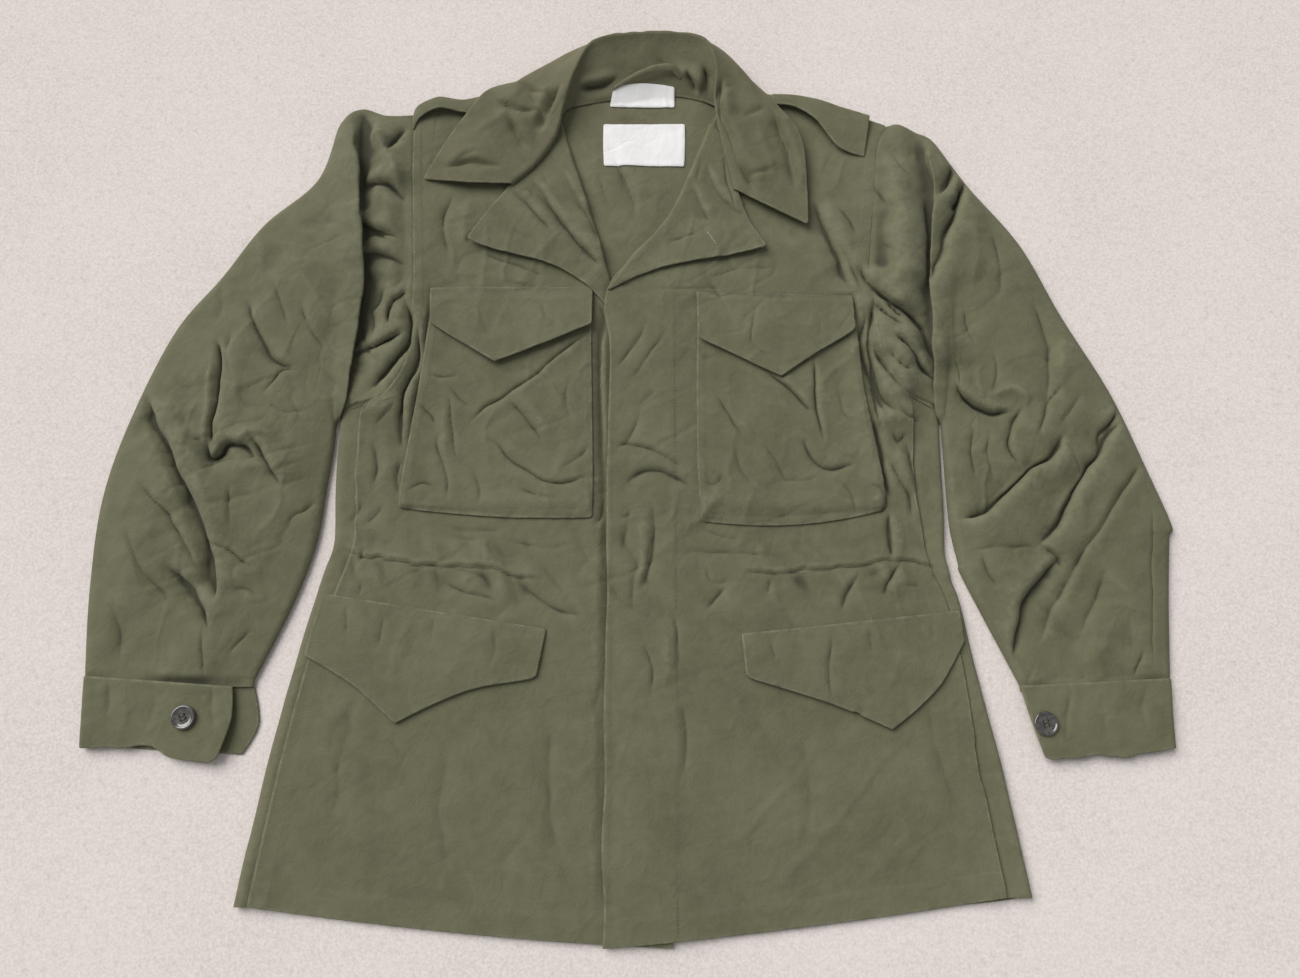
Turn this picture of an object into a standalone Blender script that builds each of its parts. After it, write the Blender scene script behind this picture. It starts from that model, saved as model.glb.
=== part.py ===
"""A cotton field jacket laid face up on a flat surface, buttoned below the open lapels.

Lengths are in millimetres, and MM turns them into metres where a mesh is made.
+X runs to the wearer's left, +Y to the collar and +Z up from the surface under the jacket.
Heights are those of the middle of a cloth wall.
"""
import math
from collections import namedtuple

import bpy
from mathutils import Vector

MM = 0.001
ORIGIN = Vector((0.83, -6.58, 0.0))  # the middle of the jacket's outline, on the surface

# Cloth walls
PLY = 1.2  # one layer with its turnings
DOUBLE = 1.8  # two layers sewn together: flaps, collar, cuffs, loops
LABEL = 1.0
AIR = 0.5  # between pieces that lie on each other
SEAM = 0.3  # between panels sewn edge to edge
ARMHOLE_SEAM = 0.9  # beside the curved armhole seams

# Heights
FLOOR_LAYER = PLY / 2  # cloth that rests on the surface
UPPER_LAYER = 5.0  # cloth over a folded edge
FOLD_MIDDLE = (FLOOR_LAYER + UPPER_LAYER) / 2
SETTLED = 2.6  # fronts, away from the folded edges, lying on the back
SHOULDER_LINE = 2.4  # top edge of the fronts, on the back's shoulder
OVERLAP_RISE = PLY + AIR  # left front over the right one
FOLD_REACH = 30.0  # how far in from a folded edge the cloth comes down
CASING_RISE = 3.0  # waist drawcord casing
CASING_WIDTH = 9.0
SHOULDER_REACH = 14.0  # how far down the fronts thin out to the shoulder line
EDGE_TURN = 3.0  # how far in from its fold the back's side comes level
ROLL_LIFT = 1.2  # the collar's roll stands this far above its table
ROLL_WIDTH = 0.12  # of the stand's and the fall's width, rounded at the roll

# Buttons
BUTTON_RADIUS = 10.25
BUTTON_THICK = 3.4
BUTTON_RIM = 2.2
BUTTON_DISH = 0.8
HOLE_RADIUS = 1.05
HOLE_SPREAD = 2.3
BUTTON_SIDES = 16
HOLE_SIDES = 6

# Front edges
LEFT_FRONT_EDGE_X = -20.0
RIGHT_FRONT_EDGE_X = 35.0  # hidden under the left front
OVERLAP_END_X = 85.0  # where the left front has come down beside the overlap
BREAK_Y = 150.0  # where the lapels begin to turn back
OVERLAP_TOP_Y = 190.0  # the overlap has thinned out here
CASING_END = 75.0  # the waist casing stops this far from the middle
CASING_FADE = 25.0
OVERLAP_MARGIN = 3.0  # the overlap is at its full height this far past the hidden edge
MIDDLE_X = 12.0

Point = namedtuple("Point", "x y")
Section = namedtuple("Section", "side_x side_y middle_x middle_y bow")
BackSection = namedtuple("BackSection", "right_fold_x left_fold_x bow")
Lapel = namedtuple("Lapel", "free_x free_y roll_y bow")
SleeveSection = namedtuple(
    "SleeveSection", "outer_x outer_y upper_x upper_y lower_x lower_y inner_x inner_y crest"
)
CuffSection = namedtuple("CuffSection", "outer_x outer_y upper_x upper_y under_x under_y")
CollarSection = namedtuple(
    "CollarSection",
    "foot_x foot_y foot_z roll_x roll_y roll_z brow_x brow_y brow_z edge_x edge_y edge_z",
)
Strip = namedtuple("Strip", "near_x near_y near_z far_x far_y far_z")
Flap = namedtuple(
    "Flap", "left_x right_x top_left_y top_right_y low_left_x low_left_y "
    "low_right_x low_right_y point_x point_y"
)
Fold = namedtuple("Fold", "from_x from_y to_x to_y reach rise")
Cloth = namedtuple("Cloth", "red green blue roughness")

# Armhole seams, from the armpit up to the shoulder
RIGHT_ARMHOLE = [
    Point(-262, 26), Point(-243, 33), Point(-224, 38), Point(-205, 75),
    Point(-202, 130), Point(-206, 205), Point(-211, 285), Point(-213, 331),
]
LEFT_ARMHOLE = [
    Point(277, 28), Point(259, 38), Point(243, 45), Point(228, 85),
    Point(221, 150), Point(227, 220), Point(236, 290), Point(247, 318),
]

# Fronts, from the hem to the shoulder; the side is the side seam, then the armhole
RIGHT_FRONT = [
    Section(-305, -395, RIGHT_FRONT_EDGE_X, -426, -4),  # hem
    Section(-291, -300, RIGHT_FRONT_EDGE_X, -322, -2),
    Section(-272, -197, RIGHT_FRONT_EDGE_X, -222, -2),
    Section(-255, -145, RIGHT_FRONT_EDGE_X, -166, -2),
    Section(-245, -114, RIGHT_FRONT_EDGE_X, -140, -2),
    Section(-241, -98, RIGHT_FRONT_EDGE_X, -127, -2),  # waist
    Section(-241, -82, RIGHT_FRONT_EDGE_X, -112, -2),
    Section(-243, -35, RIGHT_FRONT_EDGE_X, -55, 0),
    Section(-243, 24, RIGHT_FRONT_EDGE_X, 20, 0),  # armpit
    Section(*RIGHT_ARMHOLE[2], RIGHT_FRONT_EDGE_X, 55, 0),
    Section(*RIGHT_ARMHOLE[3], 32, 92, 0),
    Section(*RIGHT_ARMHOLE[4], -19.5, BREAK_Y, 0),
    Section(*RIGHT_ARMHOLE[5], -37.5, 208, 0),
    Section(*RIGHT_ARMHOLE[6], -61.5, 285, 2),
    Section(*RIGHT_ARMHOLE[7], -82, 360, 6),  # shoulder
]
LEFT_FRONT = [
    Section(303, -388, LEFT_FRONT_EDGE_X, -426, -3),  # hem
    Section(291, -300, LEFT_FRONT_EDGE_X, -330, -2),
    Section(281, -200, LEFT_FRONT_EDGE_X, -228, -2),
    Section(272, -152, LEFT_FRONT_EDGE_X, -166, 0),
    Section(262, -126, LEFT_FRONT_EDGE_X, -140, 0),
    Section(258, -112, LEFT_FRONT_EDGE_X, -127, 0),  # waist
    Section(256, -98, LEFT_FRONT_EDGE_X, -113, 0),
    Section(252, -45, LEFT_FRONT_EDGE_X, -60, 0),
    Section(252, 26, LEFT_FRONT_EDGE_X, 18, 0),  # armpit
    Section(*LEFT_ARMHOLE[2], LEFT_FRONT_EDGE_X, 52, 0),
    Section(*LEFT_ARMHOLE[3], LEFT_FRONT_EDGE_X, 92, 0),
    Section(*LEFT_ARMHOLE[4], LEFT_FRONT_EDGE_X, BREAK_Y - 2, 0),
    Section(*LEFT_ARMHOLE[5], 33, 212, 0),
    Section(*LEFT_ARMHOLE[6], 66, 287, 2),
    Section(*LEFT_ARMHOLE[7], 92, 360, 6),  # shoulder
]
WAIST_ROW = 5
ARMPIT_ROW = 8

# Back: the folds at its sides, on the same rows as the fronts, then the armholes
BACK = [
    BackSection(-316, 324, -14),  # hem
    BackSection(-302, 310, -10),
    BackSection(-283, 292, -5),
    BackSection(-271, 284, 0),
    BackSection(-263, 277, 0),
    BackSection(-258, 274, 0),  # waist
    BackSection(-259, 274, 0),
    BackSection(-262, 276, 0),
    BackSection(-262, 277, 0),  # armpit
    BackSection(RIGHT_ARMHOLE[2].x, LEFT_ARMHOLE[2].x, 0),
    BackSection(RIGHT_ARMHOLE[3].x, LEFT_ARMHOLE[3].x, 0),
    BackSection(RIGHT_ARMHOLE[4].x, LEFT_ARMHOLE[4].x, 0),
    BackSection(RIGHT_ARMHOLE[5].x, LEFT_ARMHOLE[5].x, 0),
    BackSection(RIGHT_ARMHOLE[6].x, LEFT_ARMHOLE[6].x, 14),
    BackSection(RIGHT_ARMHOLE[7].x, LEFT_ARMHOLE[7].x, 43),  # shoulders and neck
]

# Sleeves, from the cuff seam to the fold over the armhole
RIGHT_SLEEVE = [
    SleeveSection(-461, -212, -412, -214, -365, -216, -318, -216, 5.6),  # cuff seam
    SleeveSection(-467, -140, -406, -148, -349, -152, -291, -152, 7),
    SleeveSection(-467, -60, -400, -74, -337, -88, -275, -98, 8),
    SleeveSection(-452, 14, -388, -4, -326, -28, -270, -48, 10),  # elbow
    SleeveSection(-421, 101, -366, 68, -314, 24, -267, -16, 9),
    SleeveSection(-383, 157, -342, 112, -300, 56, -266.5, -3, 10),
    SleeveSection(-349, 211, -316, 150, -286, 75, -266.5, 4, 12),
    SleeveSection(-302, 259, -283, 180, -272, 88, -266.5, 9, 13),
    SleeveSection(-277, 325, -263, 225, -258, 110, -266, 14, 15),  # fold over the armhole
    SleeveSection(-260, 334, -253, 222, -249, 107, -265.5, 18, 5.5),  # valley beside it
    SleeveSection(-238, 331, -229, 215, -227, 92, -265, 22, 7),
]
LEFT_SLEEVE = [
    SleeveSection(457, -214, 415, -216, 372, -218, 330, -220, 5.6),  # cuff seam
    SleeveSection(460, -150, 409, -158, 358, -160, 305, -165, 7),
    SleeveSection(470, -84, 408, -100, 347, -112, 287, -122, 8),
    SleeveSection(461, -34, 400, -50, 340, -68, 281, -85, 10),  # elbow
    SleeveSection(436, 41, 383, 18, 331, -14, 280, -48, 10),
    SleeveSection(398, 117, 358, 84, 318, 36, 280, -22, 10),
    SleeveSection(366, 190, 337, 140, 308, 72, 280, -5, 12),
    SleeveSection(322, 252, 309, 183, 295, 98, 280, 6, 13),
    SleeveSection(292, 300, 294, 225, 286, 125, 280, 13, 15),  # fold over the armhole
    SleeveSection(276, 311, 281, 228, 275, 122, 279.5, 18, 6),  # valley beside it
    SleeveSection(261, 317, 254, 225, 250, 115, 279, 22, 9),
]
ARMHOLE_CREST = UPPER_LAYER
LOWEST_UPPER = 2.3  # an upper layer pressed down onto the lower one

# Largest folds of the sleeves, as troughs in the upper layer
RIGHT_SLEEVE_FOLDS = [
    Fold(-370, 74, -371, -16, 9, -6),  # pleat at the elbow
    Fold(-432, 33, -373, -92, 13, -4),
    Fold(-373, -92, -353, -155, 11, -4),
    Fold(-439, -52, -360, -153, 10, -3),
]
LEFT_SLEEVE_FOLDS = [
    Fold(290, -76, 346, -43, 11, -4),
    Fold(346, -43, 386, -13, 11, -5),
    Fold(360, -97, 435, 21, 13, -6),
    Fold(451, -36, 373, -134, 12, -5),
]

# Cuffs, from the sleeve seam to the wrist edge: outer fold, then the two free ends
RIGHT_CUFF = [
    CuffSection(-461, -213.4, -330, -222, -318, -222),
    CuffSection(-459, -242, -326, -250, -311, -252),
    CuffSection(-457, -269, -334, -282, -322, -276),
]
LEFT_CUFF = [
    CuffSection(457, -215.4, 330, -221.4, 334, -221.4),
    CuffSection(455, -243, 337, -252, 341, -250),
    CuffSection(454, -271, 345, -280, 349, -276),
]

# Collar, from the end on the wearer's right round the neck to the end on the left:
# the neck seam, the roll, the brow of the fall and its free edge
COLLAR = [
    CollarSection(-120, 251, 8, -112, 254, 11, -155, 253, 12, -199, 257, 10),
    CollarSection(-98, 271, 8, -91, 276, 15, -138, 285, 16, -181, 293, 11),
    CollarSection(-79, 296, 6, -74, 305, 19, -121, 319, 18, -162, 324, 13),
    CollarSection(-71, 322, 5.5, -66, 337, 22, -110, 352, 18, -139, 353, 13),
    CollarSection(-64, 351, 4.5, -55, 369, 24, -86, 378, 15, -99, 369, 4),
    CollarSection(-40, 365, 3.4, -34, 401, 25, -42, 403, 13, -48, 384, 1.6),
    CollarSection(22, 369, 3.4, 22, 408, 25, 22, 412, 13, 22, 384, 1.6),  # back of the neck
    CollarSection(68, 367, 3.4, 68, 402, 25, 78, 403, 13, 80, 382, 1.6),
    CollarSection(92, 352, 4.5, 81, 374, 24, 106, 374, 15, 122, 362, 4),
    CollarSection(98, 330, 5.5, 80, 340, 22, 116, 344, 18, 144, 331, 12),
    CollarSection(101, 300, 6, 83, 306, 19, 124, 304, 18, 162, 300, 11),
    CollarSection(104, 272, 8, 89, 274, 15, 128, 264, 16, 166, 255, 11),
    CollarSection(106, 249, 8, 96, 247, 11, 130, 228, 12, 166, 209, 10),
]

# Lapels, from the lower edge to the collar notch: the free edge, and the roll along the front
RIGHT_LAPEL = [Lapel(-153, 191, 157, -3), Lapel(-134, 222, 218, 0), Lapel(-114, 256, 282, 0)]
LEFT_LAPEL = [Lapel(125, 184, 152, -3), Lapel(111, 214, 212, 0), Lapel(97, 246, 277, 0)]
ROLL_OUT = 1.6  # how far a lapel's roll stands past the front's edge

# Chest pockets, from the mouth to the bottom
RIGHT_POCKET = [
    Section(-184, 128, -38, 132, 0),
    Section(-192, 45, -36, 45, 0),
    Section(-201, -30, -34, -30, 0),
    Section(-204, -69, -34, -75, 0),
]
LEFT_POCKET = [
    Section(205, 126, 62, 130, 0),
    Section(210, 45, 60, 45, 0),
    Section(221, -30, 60, -30, 0),
    Section(227, -74, 62, -80, 0),
]
RIGHT_CHEST_FLAP = Flap(-184, -37, 143, 145, -184, 110, -37, 108, -124, 70)
LEFT_CHEST_FLAP = Flap(61, 204, 138, 134, 62, 94, 204, 100, 136, 57)
RIGHT_SKIRT_FLAP = Flap(-261, -72, -143, -174, -274, -195, -79, -213, -195, -251)
LEFT_SKIRT_FLAP = Flap(96, 281, -178, -158, 102, -213, 284, -186, 219, -256)

# Shoulder loops, from the armhole to the collar; near is the lower edge, far the one behind
RIGHT_LOOP = [
    Strip(-213, 313, 7.4, -213.5, 329, 6),
    Strip(-207, 328, 8.8, -209, 341, 7),
    Strip(-189, 338, 13.5, -190, 349, 9.5),
    Strip(-167, 333, 10.4, -168, 347, 7.6),
    Strip(-146, 329, 7.4, -146, 348, 7),
]
LEFT_LOOP = [
    Strip(223, 283, 8, 231, 328, 6.4),
    Strip(199, 292, 11, 204, 336, 8),
    Strip(178, 322, 14, 182, 346, 10),
    Strip(158, 341, 11, 160, 353, 8.5),
    Strip(136, 345, 7.6, 138, 355, 6.8),
]
HANGER_LOOP = [
    Strip(-16, 371, 7.6, -15, 380, 12.6),
    Strip(2, 372, 9, 5, 384, 16),
    Strip(24, 376, 12, 28, 388, 19),
    Strip(42, 376, 11, 45, 385, 17),
    Strip(49, 371, 8, 50, 379, 12.6),
]

# Labels, from the top edge to the bottom one
NECK_LABEL = [Section(-21, 362, 44, 363, 0), Section(-22, 350, 44, 349, 0), Section(-24, 336, 43, 335, 0)]
SIZE_LABEL = [Section(-28, 321, 51, 321, 0), Section(-28, 298, 51, 298, 0), Section(-27, 275, 50, 275, 0)]

# Where the cuff buttons are sewn on
RIGHT_BUTTON = Point(-372, -247)
LEFT_BUTTON = Point(347, -252)
CUFF_TOP = 6.0  # middle of a cuff's upper layer

OLIVE = Cloth(0.125, 0.121, 0.085, 0.86)
OLIVE_INSIDE = Cloth(0.128, 0.122, 0.094, 0.88)
WHITE = Cloth(0.85, 0.84, 0.82, 0.85)
BUTTON_GREY = Cloth(0.055, 0.052, 0.045, 0.32)

ACROSS_FRONT = [0, 0.04, 0.12, 0.24, 0.4, 0.56, 0.7, 0.82, 1]
ACROSS_BACK = [0, 0.008, 0.08, 0.2, 0.35, 0.5, 0.65, 0.8, 0.92, 0.992, 1]
OVER_SLEEVE = [0, 0.03, 0.1, 0.2, 0.3, 0.4, 0.5, 0.6, 0.7, 0.8, 0.9, 0.97, 1]
UNDER_SLEEVE = [0.97, 0.66, 0.33, 0.03]
OVER_CUFF = [0, 0.25, 0.5, 0.75, 0.97]
UNDER_CUFF = [0.03, 0.3, 0.6, 1]
ACROSS_LAPEL = [0, 0.2, 0.4, 0.6, 0.8, 0.96, 1]
ACROSS_POCKET = [0, 0.1, 0.3, 0.5, 0.7, 0.9, 1]
ACROSS_LABEL = [0, 0.33, 0.67, 1]


def clear_scene():
    for thing in list(bpy.data.objects):
        bpy.data.objects.remove(thing, do_unlink=True)


def through(rows, position):
    """A smooth curve through the rows of a table, at a place counted in rows."""
    last = len(rows) - 1
    start = min(int(position), last - 1)
    t = position - start
    before, one, two, after = (
        rows[min(max(start + k, 0), last)] for k in (-1, 0, 1, 2)
    )
    return [
        0.5 * (2 * b + (c - a) * t + (2 * a - 5 * b + 4 * c - d) * t**2 + (3 * b - a - 3 * c + d) * t**3)
        for a, b, c, d in zip(before, one, two, after)
    ]


def refined(rows, steps):
    """The table with its rows smoothly divided into steps."""
    return [through(rows, k / steps) for k in range((len(rows) - 1) * steps + 1)]


def along(path, fractions):
    """Points at the given fractions of a path's length."""
    points = [Vector(p) for p in refined(path, 6)]
    lengths = [0.0]
    for a, b in zip(points, points[1:]):
        lengths.append(lengths[-1] + (b - a).length)
    found = []
    for fraction in fractions:
        goal = fraction * lengths[-1]
        k = max(i for i, length in enumerate(lengths[:-1]) if length <= goal + 1e-9)
        part = (goal - lengths[k]) / (lengths[k + 1] - lengths[k])
        found.append(points[k].lerp(points[k + 1], part))
    return found


def level(x, table):
    """The value at x of a line through (x, value) rows, which rise in x."""
    if x <= table[0][0]:
        return table[0][1]
    for (x0, y0), (x1, y1) in zip(table, table[1:]):
        if x <= x1:
            return y0 + (y1 - y0) * (x - x0) / (x1 - x0)
    return table[-1][1]


def bump(distance, reach):
    return math.exp(-((distance / reach) ** 2))


def across(section, fractions):
    """Points from a section's side to its middle, bowed along the jacket."""
    side_x, side_y, middle_x, middle_y, bow = section
    return [
        (
            side_x + (middle_x - side_x) * t,
            side_y + (middle_y - side_y) * t + bow * 4 * t * (1 - t),
        )
        for t in fractions
    ]


def fade(value, none, full):
    """0 at none, 1 at full, smooth between."""
    t = min(max((value - none) / (full - none), 0), 1)
    return t * t * (3 - 2 * t)


def front_height(sections, x, y):
    """Height of a front: high over the rolled side, settled on the back further in."""
    sides = [(s.side_y, s.side_x) for s in sections]
    high = bump(abs(x - level(y, sides)), FOLD_REACH)
    height = SETTLED + (UPPER_LAYER - SETTLED) * high
    waist = sections[WAIST_ROW]
    share = (x - waist.side_x) / (waist.middle_x - waist.side_x)
    waist_y = waist.side_y + (waist.middle_y - waist.side_y) * share
    casing = fade(abs(x - MIDDLE_X), CASING_END, CASING_END + CASING_FADE)
    height += CASING_RISE * casing * bump(y - waist_y, CASING_WIDTH)
    top = sections[-1]
    shoulder_y = level(x, sorted([(top.side_x, top.side_y), (top.middle_x, top.middle_y)]))
    height += (SHOULDER_LINE - height) * bump(max(shoulder_y - y, 0), SHOULDER_REACH)
    if sections is LEFT_FRONT:
        over = fade(x, OVERLAP_END_X, RIGHT_FRONT_EDGE_X + OVERLAP_MARGIN)
        over *= fade(y, OVERLAP_TOP_Y, BREAK_Y)
        height += OVERLAP_RISE * over
    return height


def right_height(x, y):
    return front_height(RIGHT_FRONT, x, y)


def left_height(x, y):
    return front_height(LEFT_FRONT, x, y)


def finish(name, cloth):
    material = bpy.data.materials.new(name)
    material.use_nodes = True
    shader = material.node_tree.nodes["Principled BSDF"]
    shader.inputs["Base Color"].default_value = (cloth.red, cloth.green, cloth.blue, 1)
    shader.inputs["Roughness"].default_value = cloth.roughness
    shader.inputs["Metallic"].default_value = 0
    return material


def wall(name, points, faces, thick, cloth):
    """A cloth wall of even thickness round the surface that the faces make."""
    mesh = bpy.data.meshes.new(name)
    mesh.from_pydata([(Vector(p) - ORIGIN) * MM for p in points], [], faces)
    mesh.shade_smooth()
    mesh.materials.append(finish(name, cloth))
    piece = bpy.data.objects.new(name, mesh)
    bpy.context.collection.objects.link(piece)
    solid = piece.modifiers.new("cloth", "SOLIDIFY")
    solid.thickness = thick * MM
    solid.offset = 0
    return piece


def sheet(name, rows, thick, cloth, closed=False):
    """A wall over a grid of points; closed joins its last column to its first."""
    width = len(rows[0])
    points = [p for row in rows for p in row]
    faces = []
    for r in range(len(rows) - 1):
        for c in range(width if closed else width - 1):
            here, beside = r * width + c, r * width + (c + 1) % width
            faces.append((here, beside, beside + width, here + width))
    return wall(name, points, faces, thick, cloth)


def lay(rows, height, rise):
    """Points of a flat grid, laid on a surface and moved out from it."""
    return [[(x, y, height(x, y) + rise) for x, y in row] for row in rows]


def make_back():
    """One panel on the surface, and a strip on each side that rolls up and over to the seam."""
    rights, lefts = refined(RIGHT_FRONT, 2), refined(LEFT_FRONT, 2)
    rows = [(fold, right, left) for fold, right, left in zip(refined(BACK, 2), rights, lefts)]
    armpit = ARMPIT_ROW * 2
    width = len(ACROSS_BACK)
    points, faces = [], []
    for r, ((right_x, left_x, bow), right, left) in enumerate(rows):
        for t in ACROSS_BACK:
            swell = bow * math.sin(math.pi * t) ** 0.7 if 0 < t < 1 else 0
            y = right[1] + (left[1] - right[1]) * t + swell
            edge = FOLD_MIDDLE if t in (0, 1) and r <= armpit else FLOOR_LAYER
            points.append((right_x + (left_x - right_x) * t, y, edge))
    for r in range(len(rows) - 1):
        for c in range(width - 1):
            here = r * width + c
            faces.append((here, here + width, here + width + 1, here + 1))
    for side, inward in ((0, 1), (1, -1)):
        column = side * (width - 1)
        first = len(points)
        for r in range(armpit + 1):
            edge_x, edge_y, _ = points[r * width + column]
            seam_x = rows[r][1 + side][0]
            points.append((edge_x + inward * EDGE_TURN, edge_y, UPPER_LAYER))
            points.append((seam_x - inward * SEAM, edge_y, UPPER_LAYER))
        for r in range(armpit):
            edge, over = r * width + column, first + 2 * r
            ring = [(edge, over, over + 2, edge + width), (over, over + 1, over + 3, over + 2)]
            faces += ring if side == 0 else [quad[::-1] for quad in ring]
    wall("back", points, faces, PLY, OLIVE_INSIDE)


def make_front(name, sections, height):
    flat = [across(s, ACROSS_FRONT) for s in refined(sections, 2)]
    sheet(name, lay(flat, height, 0), PLY, OLIVE)


def folded(folds, x, y):
    """Rise of the cloth at a point from the folds that pass near it."""
    rise = 0
    for fold in folds:
        run = Vector((fold.to_x - fold.from_x, fold.to_y - fold.from_y))
        reach = Vector((x - fold.from_x, y - fold.from_y))
        share = min(max(reach.dot(run) / run.length_squared, 0), 1)
        rise = min(rise, fold.rise * bump((reach - run * share).length, fold.reach))
    return rise


def sleeve_ring(outline, crest, folds):
    """One ring of a sleeve: over the top from the outer fold to the inner one, and back below."""
    ring = []
    for t, point in zip(OVER_SLEEVE, along(outline, OVER_SLEEVE)):
        if t in (0, 1):
            ring.append((point.x, point.y, FOLD_MIDDLE))
            continue
        dome = math.sin(math.pi * t) ** 0.5
        height = UPPER_LAYER + (crest - UPPER_LAYER + folded(folds, point.x, point.y)) * dome
        ring.append((point.x, point.y, max(height, LOWEST_UPPER)))
    return ring + [(point.x, point.y, FLOOR_LAYER) for point in along(outline, UNDER_SLEEVE)]


def make_sleeve(name, sections, armhole, outward, folds):
    rings = []
    for row in refined(sections, 3):
        outline = [(row[k], row[k + 1]) for k in (0, 2, 4, 6)]
        rings.append(sleeve_ring(outline, row[8], folds))
    seam = [(p.x + outward * ARMHOLE_SEAM, p.y + ARMHOLE_SEAM) for p in reversed(armhole)]
    rings.append(sleeve_ring(seam, ARMHOLE_CREST, []))
    sheet(name, rings, PLY, OLIVE, closed=True)


def make_cuff(name, sections):
    rows = []
    for outer_x, outer_y, upper_x, upper_y, under_x, under_y in refined(sections, 2):
        outer = Vector((outer_x, outer_y))
        upper = Vector((upper_x, upper_y))
        under = Vector((under_x, under_y))
        row = [(*upper.lerp(outer, t), CUFF_TOP) for t in OVER_CUFF]
        row.append((outer_x, outer_y, (CUFF_TOP + DOUBLE / 2) / 2))
        row += [(*outer.lerp(under, t), DOUBLE / 2) for t in UNDER_CUFF]
        rows.append(row)
    sheet(name, rows, DOUBLE, OLIVE)


def make_collar():
    """The stand rises from the neck seam to the roll, and the fall comes down outside it."""
    rows = []
    for row in refined(COLLAR, 2):
        foot, roll, brow, edge = (Vector(row[k : k + 3]) for k in (0, 3, 6, 9))
        inner, outer = roll.lerp(foot, ROLL_WIDTH), roll.lerp(brow, ROLL_WIDTH)
        rise = Vector((0, 0, ROLL_LIFT))
        profile = [foot, foot.lerp(roll, 0.5), inner, roll + rise, outer + rise * 0.6]
        profile += [roll.lerp(brow, 0.5), brow, brow.lerp(edge, 0.5), edge]
        rows.append(profile)
    sheet("collar", rows, DOUBLE, OLIVE)


def make_lapel(name, sections, front, height, inward):
    """Lies on the front, and its roll turns down past the front's edge."""
    rise = PLY / 2 + AIR + DOUBLE / 2
    edge = [(row[3], row[2]) for row in refined(front, 2)]
    rows = []
    for free_x, free_y, roll_y, bow in refined(sections, 3):
        line = (free_x, free_y, level(roll_y, edge), roll_y, bow)
        flat = across(line, ACROSS_LAPEL)
        row = [(x, y, height(x, y) + rise) for x, y in flat]
        x, y, z = row[-1]
        row[-1] = (x + inward * ROLL_OUT * 0.5, y, z)
        row.append((x + inward * ROLL_OUT * 1.5, y, z - rise * 0.6))
        rows.append(row)
    sheet(name, rows, DOUBLE, OLIVE)


def make_pocket(name, sections, height):
    flat = [across(s, ACROSS_POCKET) for s in refined(sections, 2)]
    sheet(name, lay(flat, height, PLY + AIR), PLY, OLIVE)


def flap_grid(flap, down):
    """Columns from side to side, one of them at the point, each run from the seam to the edge."""
    share = (flap.point_x - flap.left_x) / (flap.right_x - flap.left_x)
    fractions = [0, share / 3, share * 2 / 3, share]
    fractions += [share + (1 - share) * k / 3 for k in (1, 2, 3)]
    columns = []
    for t in fractions:
        top = Vector((flap.left_x + (flap.right_x - flap.left_x) * t,
                      flap.top_left_y + (flap.top_right_y - flap.top_left_y) * t))
        point = Vector((flap.point_x, flap.point_y))
        if t <= share:
            low = Vector((flap.low_left_x, flap.low_left_y)).lerp(point, t / share)
        else:
            low = point.lerp(Vector((flap.low_right_x, flap.low_right_y)), (t - share) / (1 - share))
        columns.append([tuple(top.lerp(low, k / down)) for k in range(down + 1)])
    return columns


def make_flap(name, flap, height, rise):
    sheet(name, lay(flap_grid(flap, 4), height, rise), DOUBLE, OLIVE)


def make_strip(name, strips, thick, cloth):
    rows = []
    for row in refined(strips, 3):
        near, far = Vector(row[:3]), Vector(row[3:])
        rows.append([near, near.lerp(far, 0.5), far])
    sheet(name, rows, thick, cloth)


def make_label(name, sections, rise):
    flat = [across(s, ACROSS_LABEL) for s in sections]
    sheet(name, lay(flat, lambda x, y: FLOOR_LAYER, rise), LABEL, WHITE)


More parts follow.
